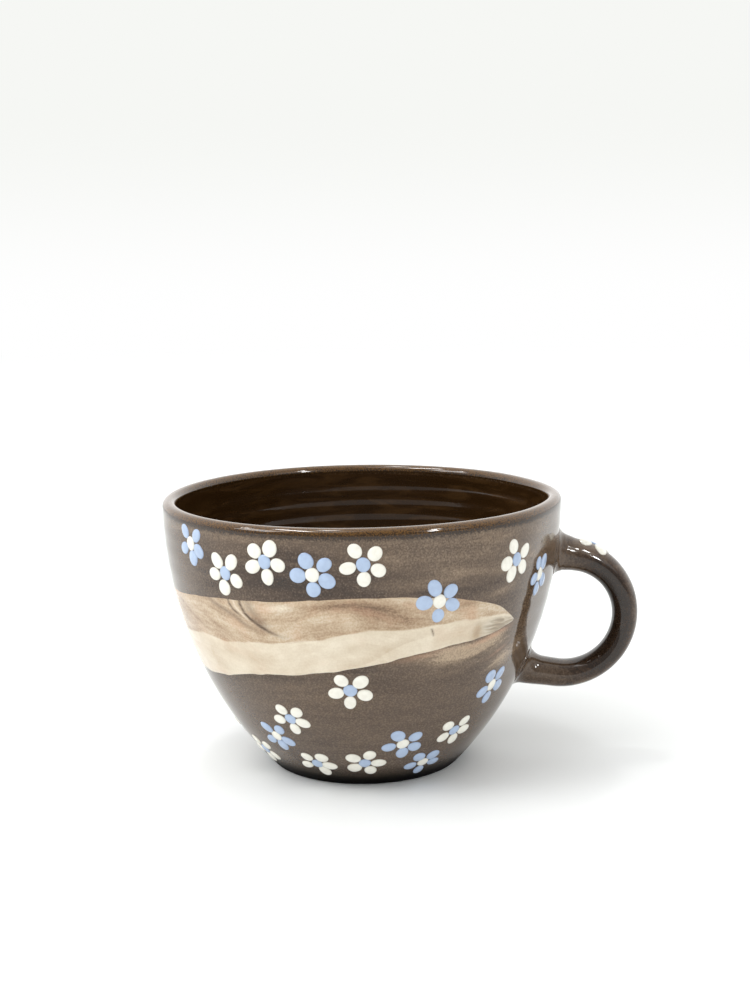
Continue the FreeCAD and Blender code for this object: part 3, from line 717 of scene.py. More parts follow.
    def lip_inside_and_foot(self, nodes: Nodes, place: Socket, grain: Socket, colour: Socket,
                            foot: Socket) -> Socket:
        """Lays the pink blush, the lip with its painted dark reflection, the inside and the foot's painted
        contact shade over the cup's wall.

        Args:
            nodes: nodes of the material.
            place: the place in millimetres.
            grain: the grain of the clay, which makes the edge at the lip ragged.
            colour: colour of the wall.
            foot: share of the dull foot, whose near-black colour is painted contact shade.

        Returns:
            The colour of the whole cup.
        """
        add = nodes.add
        up = add("SeparateXYZ", (place,), "Z")
        # More dark specks towards the lower edge of the lip band: painted dark reflection.
        brink = add("MapRange", (up, self.lip_height, self.lip_height + 2.0, 0.22, -0.02), **SOFT)
        fleck = add("Math", (self.fleck.at(nodes, place), brink), operation="ADD")
        fleck = add("MapRange", (fleck, 0.42, 0.64, 0.0, 0.9), **SOFT)
        lip = add("Mix", {0: fleck, 6: self.lip, 7: self.lip_fleck}, 2, **COLOURS)
        uneven = add("MapRange", (grain, 0.3, 0.7, -0.45, 0.45), **SOFT)
        uneven = add("Math", (up, uneven), operation="ADD")
        near_lip = add("MapRange", (uneven, self.lip_height - 0.5, self.lip_height + 0.4), **SOFT)
        rub = add("MapRange", (self.rub.at(nodes, place), 0.42, 0.72), **SOFT)
        inner = add("Mix", {0: rub, 6: self.inside, 7: self.inside_pale}, 2, **COLOURS)
        rough = add("MapRange", (grain, 0.3, 0.8, 0.0, 0.3), **SOFT)
        inner = add("Mix", {0: rough, 6: inner, 7: self.lip_fleck}, 2, **COLOURS)
        blush, hollow = (
            add("Attribute", give="Fac", attribute_name=key) for key in ("blush", "hollow"))
        for share, layer in ((blush, self.blush), (near_lip, lip), (hollow, inner), (foot, self.painted_foot_shade)):
            colour = add("Mix", {0: share, 6: colour, 7: layer}, 2, **COLOURS)
        return colour


@dataclass(frozen=True)
class MarbledClay:
    """Light clays wedged together and laid on as a thin sheet, under the same clear glaze.

    Tan and cream flow past each other in long streaks with a few thin dark folds, which gives
    the eye the grain of agate ware. All patterns but the grain follow the flow that the mesh
    carries, in millimetres along and across the sheet.
    """
    ramp: dict[float, str] = field(default_factory=lambda: {
        0.0: "#4e3a2a", 0.2: "#7a6049", 0.4: "#a1876b", 0.6: "#bda78c", 0.8: "#d0c1aa",
        1.0: "#e2d7c3"})
    fold: str = "#55402f"
    vein: str = "#e2d6c3"
    blush: str = "#c79b7c"
    worn: str = "#988a76"
    roughness: float = 0.08
    cream_lift: float = 0.32
    flow: Pattern = Pattern((0.06, 0.26, 1.0), 4.0, 0.9)
    fibre: Pattern = Pattern((0.16, 1.3, 1.0), 3.0, 0.8)
    cloud: Pattern = Pattern((0.13, 0.13, 0.13), 3.0, 0.9)
    warmth: Pattern = Pattern((0.1, 0.2, 0.2))
    grain: Pattern = Pattern((2.0, 2.0, 2.0))
    peel: Pattern = Pattern((0.35, 0.35, 0.35), 2.0)

    def make(self, name: str) -> bpy.types.Material:
        """Builds the material, which reads the fields on the band's mesh.

        Args:
            name: name of the material.

        Returns:
            The material.
        """
        material, nodes = new_material(name)
        add = nodes.add
        along, across, cream, seam, seam_ink, tone, worn, ink = (
            add("Attribute", give="Fac", attribute_name=key)
            for key in ("along", "across", "cream", "seam", "seam_ink", "tone", "worn", "fold_ink"))
        place, sheet = millimetres(nodes), add("CombineXYZ", (along, across))
        flow, fibre, cloud, warmth = (
            pattern.at(nodes, sheet) for pattern in (self.flow, self.fibre, self.cloud, self.warmth))
        grain = self.grain.at(nodes, place)
        wavy = add("MapRange", (flow, 0.3, 0.7, -0.25, 0.25), **SOFT)
        wavy = add("Math", (cream, wavy), operation="ADD")
        in_cream = add("MapRange", (wavy, -0.35, 0.35), **SOFT)
        calm, calmer = (
            add("MapRange", (in_cream, 0.0, 1.0, 1.0, least), **SOFT) for least in (0.4, 0.35))
        for pattern, depth, share in (
                (flow, 0.10, calmer), (fibre, 0.05, calmer), (cloud, 0.06, 1.0), (grain, 0.08, calm)):
            part = add("MapRange", (pattern, 0.3, 0.7, -depth, depth), **SOFT)
            tone = add("Math", (part, share, tone), operation="MULTIPLY_ADD")
        tone = add("Math", (in_cream, self.cream_lift, tone), operation="MULTIPLY_ADD")
        above = seam_ink
        for part in ((seam, -0.15, 0.25), (seam, 0.3, 3.6, 1.0, 0.0)):
            above = add("Math", (above, add("MapRange", part, **SOFT)), operation="MULTIPLY")
        colour = add("ValToRGB", (add("Math", (tone, above), operation="SUBTRACT"),))
        set_stops(colour.node.color_ramp, self.ramp)
        for share, amount, layer in (
                (calm, add("MapRange", (warmth, 0.5, 0.72, 0.0, 0.35), **SOFT), self.blush),
                (worn, add("MapRange", (fibre, 0.3, 0.7, 0.35, 1.3), **SOFT), self.worn),
                (ink, add("MapRange", (fibre, 0.3, 0.7, 0.75, 1.15), **SOFT), self.fold),
                (ink, -1.0, self.vein)):
            share = add("Math", (share, amount), operation="MULTIPLY", use_clamp=True)
            colour = add("Mix", {0: share, 6: colour, 7: layer}, 2, **COLOURS)
        shader = under_glaze(nodes, colour, self.roughness, self.peel.at(nodes, place))
        add("OutputMaterial", {"Surface": shader})
        return material


@dataclass(frozen=True)
class SlipGlaze:
    """A raised dot of thick slip under clear glaze: milky, a touch darker at its thin edge."""
    crown: str
    edge: str
    roughness: float = 0.1
    mottle: Pattern = Pattern((0.8, 0.8, 0.8))

    def make(self, name: str) -> bpy.types.Material:
        """Builds the material, which reads the field on the dots' mesh.

        Args:
            name: name of the material.

        Returns:
            The material.
        """
        material, nodes = new_material(name)
        mottle = self.mottle.at(nodes, millimetres(nodes))
        crown = nodes.add("Attribute", give="Fac", attribute_name="crown")
        colour = self.crown
        for part in ((mottle, 0.3, 0.75, 0.0, 0.35), (crown, 0.0, 0.16, 0.75, 0.0)):
            share = nodes.add("MapRange", part, **SOFT)
            colour = nodes.add("Mix", {0: share, 6: colour, 7: self.edge}, 2, **COLOURS)
        shader = under_glaze(nodes, colour, self.roughness, mottle, 0.4)
        nodes.add("OutputMaterial", {"Surface": shader})
        return material


# Pieces

def report(piece: bpy.types.Object) -> None:
    """Logs what a piece came out as."""
    mesh = piece.data
    LOG.info("%s: %d points, %d faces", piece.name, len(mesh.vertices), len(mesh.polygons))


@dataclass
class Cup:
    """The thrown cup: wall, lip, inside and foot as one closed turned surface.

    It has the slight unevenness of a thrown pot. Its sizes are in millimetres and degrees.
    """
    rim_radius: float = 55.0
    height: float = 75.0
    foot_radius: float = 26.2
    lip_radius: float = 1.75
    bore_radius: float = 51.2
    floor_radius: float = 25.88
    floor_height: float = 6.0
    floor_blend: float = 6.0
    well_radius: float = 19.5
    well_depth: float = 0.8
    well_slope: float = 0.9
    foot_round: float = 1.6
    recess_radius: float = 21.7
    recess_depth: float = 1.2
    recess_slope: float = 1.0
    unevenness: float = 0.22
    dent: float = 1.3
    dent_azimuth: float = 28.0
    dent_span: float = 15.0
    dent_turn: float = -0.12
    ring_depth: float = 0.09
    ring_pitch: float = 4.3
    lip_steps: int = 12
    around: int = 336

    def __post_init__(self) -> None:
        """Works out the two arcs of the wall."""
        self.rise = self.height - self.lip_radius
        self.sweep = self.arc_radius(self.rim_radius - self.foot_radius, self.rise)
        self.bore_sweep = self.arc_radius(
            self.bore_radius - self.floor_radius, self.rise - self.floor_height)

    @staticmethod
    def arc_radius(run: float, rise: float) -> float:
        """Radius of an arc that ends upright, run outwards and rise upwards of its start."""
        return (rise * rise + run * run) / (2.0 * run)

    def warp(self, azimuth: Points, height: Points) -> Points:
        """How much is missing from the perfect radius, never less than nothing.

        Two and three slow waves round the cup that grow with height, faint turning rings, and a
        flattened place on both sides of the handle, dent * exp(-((|a| - place) / span)^2), where
        the wall gave when the handle was pressed on. It turns a little with height.

        Args:
            azimuth: angles round the cup, in degrees.
            height: heights, in millimetres.

        Returns:
            What to take off the radius, in millimetres.
        """
        turn = np.radians(azimuth)
        grow = smoothstep(height, 4.0, 60.0)
        slow = 0.5 + 0.3 * np.sin(2 * turn + 0.7 + height * 0.02) + 0.2 * np.sin(3 * turn - 1.1)
        rings = 0.5 + 0.5 * np.sin(2 * np.pi * height / 5.2 + turn + 1.2 * np.sin(turn * 2))
        beside = np.abs((azimuth + 180.0) % 360.0 - 180.0) - self.dent_azimuth
        beside = beside - self.dent_turn * (height - 40.0)
        dent = self.dent * np.exp(-(beside / self.dent_span) ** 2) * smoothstep(height, 12.0, 34.0)
        dent = dent * (1.0 - 0.6 * smoothstep(height, 64.0, 75.0))
        return grow * (self.unevenness * slow + 0.05 * rings) + dent

    def outside(self, azimuth: Points, height: Points) -> Points:
        """Outside radius of the wall."""
        perfect = self.rim_radius - self.sweep + np.sqrt(self.sweep ** 2 - (self.rise - height) ** 2)
        return perfect - self.warp(azimuth, height)

    def lean(self, height: Points) -> Points:
        """How far the wall leans out, in radians from upright."""
        return np.arcsin(np.clip((self.rise - height) / self.sweep, -1.0, 1.0))

    def wall(self, azimuth: Points, height: Points) -> tuple[Points, ...]:
        """Points of the wall: (r cos a, r sin a, z), with r the outside radius there.

        Args:
            azimuth: angles round the cup, in degrees.
            height: heights, in millimetres.

        Returns:
            The places and the directions round the cup, up the wall and out of it.
        """
        azimuth, height = np.broadcast_arrays(np.asarray(azimuth, float), np.asarray(height, float))
        turn, lean, radius = np.radians(azimuth), self.lean(height), self.outside(azimuth, height)
        flat = np.stack([np.cos(turn), np.sin(turn), np.zeros_like(turn)], axis=-1)
        place = flat * radius[..., None] + np.stack([0 * turn, 0 * turn, height], axis=-1)
        across = np.stack([-np.sin(turn), np.cos(turn), np.zeros_like(turn)], axis=-1)
        outward = flat * np.cos(lean)[..., None]
        outward[..., 2] -= np.sin(lean)
        return place, across, np.cross(outward, across), outward

    def profile(self) -> Points:
        """The half section from the axis under the foot, over the lip, to the axis inside.

        The walls are arcs, the lip two quarter arcs, and the foot and the inside floor are joined
        to the walls by arcs that touch both.

        Returns:
            Points (radius, height), in millimetres.
        """
        outer_x, bore_x = self.rim_radius - self.sweep, self.bore_radius - self.bore_sweep
        foot_x = outer_x + math.sqrt(
            (self.sweep - self.foot_round) ** 2 - (self.rise - self.foot_round) ** 2)
        foot_turn = math.degrees(math.atan2(self.foot_round - self.rise, foot_x - outer_x))
        blend_up = self.floor_height + self.floor_blend
        blend_x = bore_x + math.sqrt(
            (self.bore_sweep - self.floor_blend) ** 2 - (self.rise - blend_up) ** 2)
        blend_turn = math.degrees(math.atan2(blend_up - self.rise, blend_x - bore_x))
        hub, bed = (0.0, self.recess_depth), (self.recess_radius - self.recess_slope, self.recess_depth)
        ledge = (self.recess_radius, 0.0)
        well_bed_up = self.floor_height - self.well_depth
        brink = (self.well_radius, self.floor_height)
        well_bed = (self.well_radius - self.well_slope, well_bed_up)
        below = np.stack([np.linspace(1.0, bed[0] - 1.0, 8), np.full(8, self.recess_depth)], axis=-1)
        well = np.stack([np.linspace(well_bed[0] - 1.0, 1.0, 12), np.full(12, well_bed_up)], axis=-1)
        return np.concatenate([
            below, soft_corner(hub, bed, ledge, 0.5), soft_corner(bed, ledge, (foot_x, 0.0), 0.5),
            arc((foot_x, self.foot_round), self.foot_round, -90.0, foot_turn, 9),
            arc((outer_x, self.rise), self.sweep, foot_turn, 0.0, 92)[1:],
            arc((self.rim_radius - self.lip_radius, self.rise), self.lip_radius, 0.0, 90.0,
                self.lip_steps)[1:],
            arc((self.bore_radius + self.lip_radius, self.rise), self.lip_radius, 90.0, 180.0,
                self.lip_steps),
            arc((bore_x, self.rise), self.bore_sweep, 0.0, blend_turn, 72)[1:],
            arc((blend_x, blend_up), self.floor_blend, blend_turn, -90.0, 12)[1:],
            soft_corner((blend_x, self.floor_height), brink, well_bed, 0.6),
            soft_corner(brink, well_bed, (0.0, well_bed_up), 0.6), well])

    def build(self) -> bpy.types.Object:
        """Turns the profile round the axis and stores the fields that the glaze reads.

        A point is (r cos a, r sin a, z), with r and z from the profile less the warp.

        Returns:
            The piece.
        """
        profile = self.profile()
        azimuth = np.linspace(-180.0, 180.0, self.around, endpoint=False)
        radius, height = (axis[:, None] for axis in profile.T)
        top = int(np.argmax(profile[:, 1]))
        past_lip = np.arange(len(profile)) > top + self.lip_steps
        inside = past_lip[:, None] * np.ones(self.around)
        warp = self.warp(azimuth[None, :], height)
        turn = np.radians(azimuth)
        rings = self.ring_depth * np.sin(2 * np.pi * height / self.ring_pitch + turn[None, :])
        wet = smoothstep(height, 6.5, 16.0)
        r = np.where(inside > 0, radius - warp + rings * wet, radius - warp)
        dip = 0.12 * (1 + np.sin(2 * turn + 0.4))[None, :] * smoothstep(height, 60.0, 75.0)
        places = np.stack([r * np.cos(turn), r * np.sin(turn), height - dip + 0 * r], axis=-1)
        fields = self.fields(np.broadcast_to(azimuth[None, :], r.shape), height + 0 * r, inside)
        poles = (np.array([[0, 0, self.recess_depth]]),
                 np.array([[0, 0, self.floor_height - self.well_depth]]))
        piece = mesh_of_rings(
            "cup", places[None], *poles, {key: value[None] for key, value in fields.items()})
        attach(piece, "root")
        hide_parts("mug")
        return piece

    def fields(self, azimuth: Points, height: Points, inside: Points) -> dict[str, Points]:
        """What the glaze reads at each point.

        The slip is paler in the wash under the lip and darker in a fringe below the band.

        Args:
            azimuth: angles round the cup, in degrees.
            height: heights, in millimetres.
            inside: 1 on the inside, 0 elsewhere.

        Returns:
            How pale the brushed slip is, where it blushes pink, and what is the inside.
        """
        edge = smooth_line(WASH_EDGE, azimuth)
        wash = smoothstep(height - edge, -1.0, 0.8)
        under = smooth_line(BAND_LOWER, azimuth) - height
        fringe = np.exp(-((under - 0.9) / 1.3) ** 2) * smoothstep(azimuth, -150.0, -138.0)
        fringe = fringe * (1.0 - smoothstep(azimuth, -96.0, -80.0))
        veil = 0.37 + 0.25 * wash - 0.13 * fringe + painted(VEIL, azimuth, height)
        pink = painted(BLUSH, azimuth, height)
        return {"veil": veil, "blush": pink, "hollow": inside}

    def dress(self, piece: bpy.types.Object, glaze: BrownGlaze) -> None:
        """Gives the cup its glaze."""
        piece.data.materials.append(glaze.make("brown_stoneware_glaze", on_cup=True))
        report(piece)


@dataclass
class Handle:
    """The pulled handle: an oval carried along a ring that runs straight into the wall.

    Its sizes are in millimetres and degrees.
    """
    cup: Cup
    ring_out: float = 56.1
    ring_height: float = 39.6
    ring_radius: float = 17.1
    top_angle: float = 78.0
    heel_angle: float = 99.0
    grip_thick: float = 7.1
    grip_wide: float = 8.8
    top_thick: float = 10.6
    top_wide: float = 10.8
    heel_thick: float = 8.6
    heel_wide: float = 10.0
    swell: float = 0.6
    top_blend: float = 3.0
    heel_blend: float = 3.8
    heel_lift: float = 1.7
    top_sink: float = 2.0
    heel_sink: float = 2.4
    heel_steps: int = 64
    ring_steps: int = 120
    top_steps: int = 48
    around: int = 64

    def __post_init__(self) -> None:
        """Finds how long the straight ends are."""
        self.top_run = self.reach(self.top_angle, 1.0) + self.top_sink
        self.heel_run = self.reach(-self.heel_angle, -1.0) + self.heel_sink

    def reach(self, angle: float, way: float) -> float:
        """Length of a straight end, from the ring to the outside of the wall.

        Args:
            angle: where on the ring the end starts, in degrees.
            way: 1 at the top and -1 at the heel.

        Returns:
            The length, in millimetres.
        """
        turn = math.radians(angle)
        runs = np.linspace(0.0, 25.0, 2501)
        across = self.ring_out + self.ring_radius * math.cos(turn) - way * runs * math.sin(turn)
        up = self.ring_height + self.ring_radius * math.sin(turn) + way * runs * math.cos(turn)
        inside = across < self.cup.outside(np.zeros_like(up), up)
        return float(runs[int(np.argmax(inside))])

    def half_oval(self, angle: Points | float) -> tuple[Points, Points]:
        """The oval's size, which swells from the grip by swell * (2s - 1)^2, s the way along.

        Args:
            angle: places on the ring, in degrees.

        Returns:
            Half the thickness and half the width, in millimetres.
        """
        along = (self.top_angle - np.asarray(angle, float)) / (self.top_angle + self.heel_angle)
        share = self.swell * (2.0 * np.clip(along, 0.0, 1.0) - 1.0) ** 2
        thick = np.where(along < 0.5, self.top_thick, self.heel_thick)
        wide = np.where(along < 0.5, self.top_wide, self.heel_wide)
        return ((self.grip_thick + (thick - self.grip_thick) * share) / 2.0,
                (self.grip_wide + (wide - self.grip_wide) * share) / 2.0)

    def surface(self, angle: Points, tip: Points) -> tuple[Points, ...]:
        """Points of the ring's surface: the ring's middle line plus a point of the oval.

        Args:
            angle: places along the ring, in degrees.
            tip: places round the oval, in degrees, 0 on the outer side.

        Returns:
            The places and the directions across the ring, along it and out of it.
        """
        turn, swing = np.radians(angle), np.radians(tip)
        half_thick, half_wide = self.half_oval(angle)
        zero = np.zeros_like(turn)
        radial = np.stack([np.cos(turn), zero, np.sin(turn)], axis=-1)
        side = np.broadcast_to(np.array([0.0, 1.0, 0.0]), radial.shape)
        middle = np.array([self.ring_out, 0.0, self.ring_height])
        place = middle + radial * (self.ring_radius + half_thick * np.cos(swing))[..., None]
        place = place + side * (half_wide * np.sin(swing))[..., None]
        outward = (radial * (np.cos(swing) / half_thick)[..., None]
                   + side * (np.sin(swing) / half_wide)[..., None])
        outward /= np.linalg.norm(outward, axis=-1, keepdims=True)
        along = np.stack([-np.sin(turn), zero, np.cos(turn)], axis=-1)
        across = np.cross(along, outward)
        return place, across, along, outward

    def rings(self) -> Points:
        """The ovals from the wall at the heel round to the wall at the top.

        A point of an oval is centre + half_thick * cos(t) * radial - half_wide * sin(t) * side.
        Near the wall every point is pushed along the wall by b - sqrt(b^2 - (b - d)^2), where d
        is its distance from the wall and b the blend, which is the arc that touches both. At the
        lower joint the blend is larger above than below.

        Returns:
            Places of shape (rings, points on each oval, 3).
        """
        heel = np.linspace(-self.heel_run, 0.0, self.heel_steps)[:-1]
        top = np.linspace(0.0, self.top_run, self.top_steps)[1:]
        ring = np.linspace(-self.heel_angle, self.top_angle, self.ring_steps)
        angle = np.concatenate([
            np.full(len(heel), -self.heel_angle), ring, np.full(len(top), self.top_angle)])
        run = np.concatenate([heel, np.zeros(len(ring)), top])
        turn = np.radians(angle)
        half_thick, half_wide = self.half_oval(angle)
        on_heel, on_top = smoothstep(-run, 0.0, 9.0), smoothstep(run, 0.0, 5.0)
        half_thick = (half_thick + on_heel * (self.heel_thick / 2 - half_thick)
                      + on_top * (self.top_thick / 2 - half_thick))
        half_wide = (half_wide + on_heel * (self.heel_wide / 2 - half_wide)
                     + on_top * (self.top_wide / 2 - half_wide))
        radial = np.stack([np.cos(turn), 0 * turn, np.sin(turn)], axis=-1)[:, None, :]
        along = np.stack([-np.sin(turn), 0 * turn, np.cos(turn)], axis=-1)
        centre = (np.array([self.ring_out, 0.0, self.ring_height]) + radial[:, 0] * self.ring_radius
                  + along * run[:, None])
        t = 2.0 * np.pi * np.arange(self.around) / self.around
        fat = 0.988 + 0.008 * np.sin(np.radians(angle) * 3.0 + 0.6)
        out = radial * np.cos(t)[None, :, None] * (half_thick * fat)[:, None, None]
        side = np.array([0.0, 1.0, 0.0]) * np.sin(t)[None, :, None] * half_wide[:, None, None]
        offset = out - side
        places = centre[:, None, :] + offset
        azimuth = np.degrees(np.arctan2(places[..., 1], places[..., 0]))
        height = places[..., 2]
        _, _, _, normal = self.cup.wall(azimuth, height)
        gap = (np.hypot(places[..., 0], places[..., 1]) - self.cup.outside(azimuth, height)) * np.cos(
            self.cup.lean(height))
        level = offset - normal * np.sum(offset * normal, axis=-1, keepdims=True)
        level /= np.linalg.norm(level, axis=-1, keepdims=True)
        at_heel = (angle < 0.0)[:, None]
        blend = np.where(at_heel, self.heel_blend + self.heel_lift * level[..., 2], self.top_blend)
        near = blend - np.clip(gap, 0.0, blend)
        push = blend - np.sqrt(blend ** 2 - near ** 2)
        facing = np.clip(-level[..., 1], 0.0, 1.0) * (run > 0)[:, None]
        ridge = 0.16 * np.exp(-((gap - 2.0) / 0.45) ** 2) * facing
        return places + level * (push + ridge)[..., None]

    def build(self) -> bpy.types.Object:
        """Carries the oval from the heel to the top.

        Returns:
            The piece.
        """
        rings = self.rings()
        piece = mesh_of_rings(
            "ring_handle", rings[None], rings[None, 0].mean(axis=1), rings[None, -1].mean(axis=1))
        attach(piece, "root")
        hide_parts("mug")
        return piece

    def dress(self, piece: bpy.types.Object, glaze: BrownGlaze) -> None:
        """Gives the handle its glaze."""
        piece.data.materials.append(glaze.make("brown_handle_glaze", on_cup=False))
        report(piece)


@dataclass
class Band:
    """The sheet of marbled clay on the wall, a low lens in section with crisp edges."""
    cup: Cup
    start: float = -284.2
    end: float = -41.0
    rise: float = 0.14
    sink: float = 0.35
    along: int = 640
    across: int = 78
    back: int = 6

    def build(self) -> bpy.types.Object:
        """Lays the sheet between its two edges.

        Column i is at one azimuth. Its section goes up over the face from the lower edge to the
        upper one, at rise * (1 - |2v - 1|^24) above the wall, and back under the surface.

        Returns:
            The piece.
        """
        azimuth = np.linspace(self.start, self.end, self.along)
        low, high = smooth_line(BAND_LOWER, azimuth), smooth_line(BAND_UPPER, azimuth)
        bend = azimuth + 1.5 * np.sin(azimuth * 0.31)
        ragged = 0.10 * np.sin(bend * 0.47 + 0.6) + 0.05 * np.sin(bend * 0.92)
        low, high = low + ragged, high - 0.6 * ragged[::-1]
        v = np.linspace(0.0, 1.0, self.across)
        share = np.concatenate([v, np.linspace(1.0, 0.0, self.back)])
        level = np.concatenate([
            self.rise * (1.0 - np.abs(2 * v - 1) ** 24) - 0.03, np.full(self.back, -self.sink)])
        height = low[:, None] + (high - low)[:, None] * share[None, :]
        angle = np.broadcast_to(azimuth[:, None], height.shape)
        place, _, _, outward = self.cup.wall(angle, height)
        rings = place + outward * level[None, :, None]
        tips = [ring.mean(axis=0) for ring in (rings[0], rings[-1])]
        fields = self.fields(angle, height)
        piece = mesh_of_rings(
            "marbled_sheet", rings[None, :, ::-1], tips[0][None], tips[1][None],
            {key: values[None, :, ::-1] for key, values in fields.items()})
        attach(piece, "root")
        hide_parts("marbled_band")
        return piece

    def fields(self, angle: Points, height: Points) -> dict[str, Points]:
        """What the clay reads at each point.

        Args:
            angle: angles round the cup, in degrees.
            height: heights, in millimetres.

        Returns:
            The flow of the clays (lengths along and across it), how far inside the cream part,
            how pale, and the worn end, the folds and the seam.
        """
        swirl = 1.6 * np.sin(np.radians(angle) * 5.0) + 1.1 * np.sin(np.radians(angle) * 9.0 + 1.0)
        cream = smooth_line(TAN_EDGE, angle) - height
        return {
            "along": angle * PER_DEGREE + 0.25 * (height - 45.0),
            "across": height + swirl,
            "cream": cream,
            "tone": 0.56 + painted(TONE, angle, height),
            "fold_ink": folded(FOLDS, angle, height),
            "worn": smoothstep(angle, -61.0, -47.0) * smoothstep(cream, 0.2, 1.8),
            "seam": height - smooth_line(SEAM, angle),
            "seam_ink": 0.10 * smoothstep(angle, -100.0, -90.0) * (1.0 - smoothstep(angle, -76.0, -66.0)),
        }

    def dress(self, piece: bpy.types.Object, clay: MarbledClay) -> None:
        """Gives the sheet its clay."""
        piece.data.materials.append(clay.make("marbled_agate_clay"))
        report(piece)


@dataclass
class Flowers:
    """All flowers, as one field of dots for each slip."""
    cup: Cup
    handle: Handle
    sizes: DotSizes = DotSizes()
    seed: int = 11

    def on_wall(self, flower: Flower) -> FrameAt:
        """The wall round a flower.

        Args:
            flower: a flower on the wall.

        Returns:
            Its surface, as a function of the offsets from its heart.
        """
        lean = float(self.cup.lean(np.array(flower.height)))
        radius = float(self.cup.outside(np.array(flower.azimuth), np.array(flower.height)))

        def frame_at(across: Points, up: Points) -> tuple[Points, ...]:
            """Places on the wall."""
            height = flower.height + np.asarray(up) * math.cos(lean)
            return self.cup.wall(flower.azimuth + np.degrees(np.asarray(across) / radius), height)
        return frame_at

    def on_handle(self, flower: Flower) -> FrameAt:
        """The handle round a flower.

        Args:
            flower: a flower on the handle.

        Returns:
            Its surface, as a function of the offsets from its heart.
        """
        half_thick, half_wide = (float(half) for half in self.handle.half_oval(flower.azimuth))
        crown = self.handle.ring_radius + half_thick

        def frame_at(across: Points, up: Points) -> tuple[Points, ...]:
            """Places on the handle."""
            angle = flower.azimuth + np.degrees(np.asarray(up) / crown)
            return self.handle.surface(angle, np.degrees((np.asarray(across) + flower.height) / half_wide))
        return frame_at

    def build(self) -> dict[Slip, bpy.types.Object]:
        """Dots every flower.

        Returns:
            The piece of each slip.
        """
        dots = {slip: DotField(self.sizes) for slip in Slip}
        s, hand = self.sizes, np.random.default_rng(self.seed)
        for flower in FLOWERS + [HANDLE_FLOWER]:
            frame_at = self.on_handle(flower) if flower is HANDLE_FLOWER else self.on_wall(flower)
            for angle in flower.angles:
                size, reach, oval = hand.uniform([0.92, 0.96, 0.98], [1.08, 1.05, 1.2])
                dots[flower.slip].put(
                    frame_at, math.radians(angle), s.reach * flower.share * reach,
                    s.petal * flower.share * size, s.oval * oval)
            dots[flower.slip.other].put(frame_at, math.radians(90.0), 0.0, s.heart * flower.share, 1.08)
        pieces = {}
        for slip, field_of_dots in dots.items():
            piece = field_of_dots.build(f"{slip.value}_slip_dots")
            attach(piece, "root")
            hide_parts(f"{slip.value}_dots")
            pieces[slip] = piece
        return pieces

    def dress(self, pieces: dict[Slip, bpy.types.Object], glazes: dict[Slip, SlipGlaze]) -> None:
        """Gives each slip its glaze.

        Args:
            pieces: the piece of each slip.
            glazes: the glaze of each slip.
        """
        for slip, piece in pieces.items():
            piece.data.materials.append(glazes[slip].make(f"{slip.value}_slip_glaze"))
            report(piece)


# Surroundings

@dataclass(frozen=True)
class Softbox:
    """A rectangular studio lamp that faces the mug; a card shows in the glaze without lighting it."""
    name: str
    place: tuple[float, float, float]
    wide: float
    tall: float
    watts: float
    card: bool = False


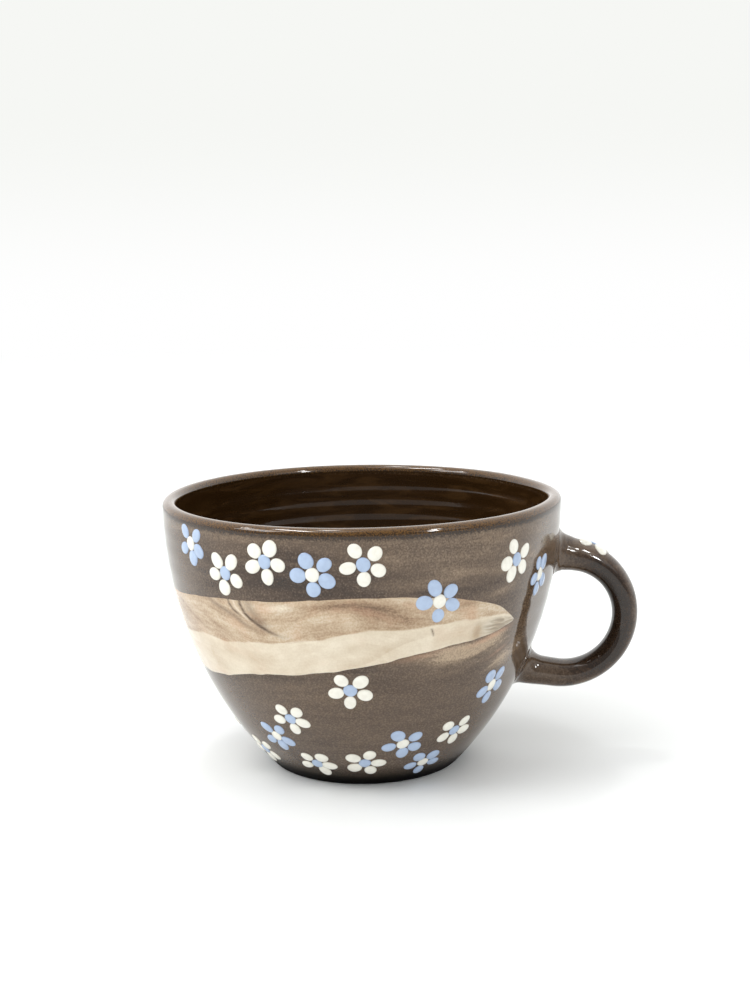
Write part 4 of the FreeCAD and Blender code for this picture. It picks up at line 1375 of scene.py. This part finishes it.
@dataclass
class Studio:
    """Pale floor, white surroundings, soft lamps and the camera, in metres and degrees."""
    floor_half: float = 3.0
    aim: tuple[float, float, float] = (0.0, 0.0, 0.04)
    eye: tuple[float, float, float] = (0.0, -0.40929, 0.14240)
    eye_angles: tuple[float, float, float] = (-0.498, 9.66, -0.84)
    lens_mm: float = 54.0
    frame_high_mm: float = 36.0
    lamps: tuple[Softbox, ...] = (
        Softbox("left_softbox", (-1.05, -0.40, 1.00), 0.55, 0.55, 7.1),
        Softbox("right_fill", (1.05, -0.95, 0.85), 0.80, 0.80, 1.8),
        Softbox("ceiling_fill", (-0.35, -0.35, 1.40), 0.60, 0.60, 2.6),
        Softbox("left_lamp", (-0.79, 0.02, 0.97), 0.10, 0.10, 0.8),
        Softbox("ceiling_strip", (-0.47, -0.12, 1.17), 0.48, 0.08, 5.6, card=True),
        Softbox("ceiling_lamp", (-0.18, 0.20, 1.24), 0.12, 0.09, 1.2),
        Softbox("right_window", (0.65, -0.58, 0.90), 0.09, 0.14, 2.4, card=True),
        Softbox("front_window", (0.69, -0.82, 0.55), 0.11, 0.11, 3.0, card=True),
    )

    def build(self) -> None:
        """Makes the whole surroundings."""
        self.floor()
        self.surroundings()
        for lamp in self.lamps:
            self.lamp(lamp)
        self.camera()

    def floor(self) -> None:
        """A wide pale table top of painted board that the eye sees fade into the white room."""
        mesh = bpy.data.meshes.new("floor")
        half = self.floor_half
        corners = [(-half, -half, 0.0), (half, -half, 0.0), (half, half, 0.0), (-half, half, 0.0)]
        mesh.from_pydata(corners, [], [(0, 1, 2, 3)])
        floor = bpy.data.objects.new("floor", mesh)
        bpy.context.scene.collection.objects.link(floor)
        material, nodes = new_material("painted_board")
        add = nodes.add
        place = millimetres(nodes)
        mottle = add("MapRange", (Pattern((0.01, 0.01, 0.01)).at(nodes, place), 0.3, 0.7), **SOFT)
        colour = add("Mix", {0: mottle, 6: "#f2f4f3", 7: "#f4f6f6"}, 2, **COLOURS)
        board = add("BsdfPrincipled", {"Base Color": colour, "Roughness": 0.6})
        white = add("Emission", {"Color": "#ffffff", "Strength": 1.0})
        away = add("VectorMath", (place,), "Value", operation="LENGTH")
        far = add("MapRange", (away, 700.0, 1700.0), **SOFT)
        share = add("Math", (far, add("LightPath", give="Is Camera Ray")), operation="MULTIPLY")
        add("OutputMaterial", {"Surface": add("MixShader", (share, board, white))})
        mesh.materials.append(material)
        floor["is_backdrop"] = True

    def surroundings(self) -> None:
        """White to the eye, bright from above as light, and in the glaze dimmer behind the camera."""
        world = bpy.data.worlds.new("white_room")
        world.use_nodes = True
        bpy.context.scene.world = world
        nodes = Nodes(world.node_tree)
        add = nodes.add
        way = add("TexCoord", give="Generated")
        back, up = (add("SeparateXYZ", (way,), axis) for axis in "YZ")
        fall = add("MapRange", (up, 0.0, 1.0, 0.67, 1.22), **SOFT)
        room = add("MapRange", (back, -0.8, 0.5, 0.48, 1.7), **SOFT)
        paper = add("MapRange", (up, -0.045, 0.085), **SOFT)
        paper = add("Mix", {0: paper, 6: "#ffffff", 7: "#f6f7f4"}, 2, **COLOURS)
        light, mirrored, seen = (
            add("Background", {"Color": colour, "Strength": strength})
            for colour, strength in (("#fbfbfa", fall), ("#fbfbfa", room), (paper, 1.0)))
        shader = add("MixShader", (add("LightPath", give="Is Glossy Ray"), light, mirrored))
        shader = add("MixShader", (add("LightPath", give="Is Camera Ray"), shader, seen))
        add("OutputWorld", {"Surface": shader})

    def lamp(self, lamp: Softbox) -> None:
        """An area lamp aimed at the middle of the mug.

        Args:
            lamp: where it stands, how large and how strong it is.
        """
        data = bpy.data.lights.new(lamp.name, "AREA")
        data.shape = "RECTANGLE"
        data.size = lamp.wide
        data.size_y = lamp.tall
        data.energy = lamp.watts
        made = bpy.data.objects.new(lamp.name, data)
        bpy.context.scene.collection.objects.link(made)
        made.location = lamp.place
        made.visible_diffuse = not lamp.card
        aim = np.array(self.aim) - np.array(lamp.place)
        aim = aim / np.linalg.norm(aim)
        level = math.hypot(aim[0], aim[1])
        made.rotation_euler = (math.atan2(level, -aim[2]), 0.0, math.atan2(-aim[0], aim[1]))

    def camera(self) -> None:
        """The camera, turned left and tilted down from level by its angles, in degrees."""
        data = bpy.data.cameras.new("camera")
        data.sensor_fit = "VERTICAL"
        data.sensor_height = self.frame_high_mm
        data.lens = self.lens_mm
        data.clip_start = 0.01
        made = bpy.data.objects.new("camera", data)
        bpy.context.scene.collection.objects.link(made)
        turn, tilt, roll = (math.radians(angle) for angle in self.eye_angles)
        place = Matrix.Translation(self.eye)
        made.matrix_world = (place @ Matrix.Rotation(turn, 4, "Z")
                             @ Matrix.Rotation(math.pi / 2.0 - tilt, 4, "X")
                             @ Matrix.Rotation(roll, 4, "Z"))
        bpy.context.scene.camera = made


def corners() -> list[list[float]]:
    """Lowest and highest corner of the shown object, as plain lists."""
    return [[float(value) for value in corner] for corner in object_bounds()]


def main() -> None:
    """Builds the mug piece by piece, then its surroundings."""
    logging.basicConfig(level=logging.INFO, format="%(name)s: %(message)s")
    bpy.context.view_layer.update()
    bpy.context.scene.view_settings.view_transform = "Standard"
    glaze = BrownGlaze()
    cup = Cup()
    cup.dress(cup.build(), glaze)
    handle = Handle(cup)
    handle.dress(handle.build(), glaze)
    band = Band(cup)
    band.dress(band.build(), MarbledClay())
    flowers = Flowers(cup, handle)
    flowers.dress(flowers.build(), {
        Slip.CREAM: SlipGlaze("#f0eee4", "#d5d0c2"), Slip.BLUE: SlipGlaze("#adbfd9", "#93a4c2")})
    Studio().build()


if __name__ == "__main__":
    main()
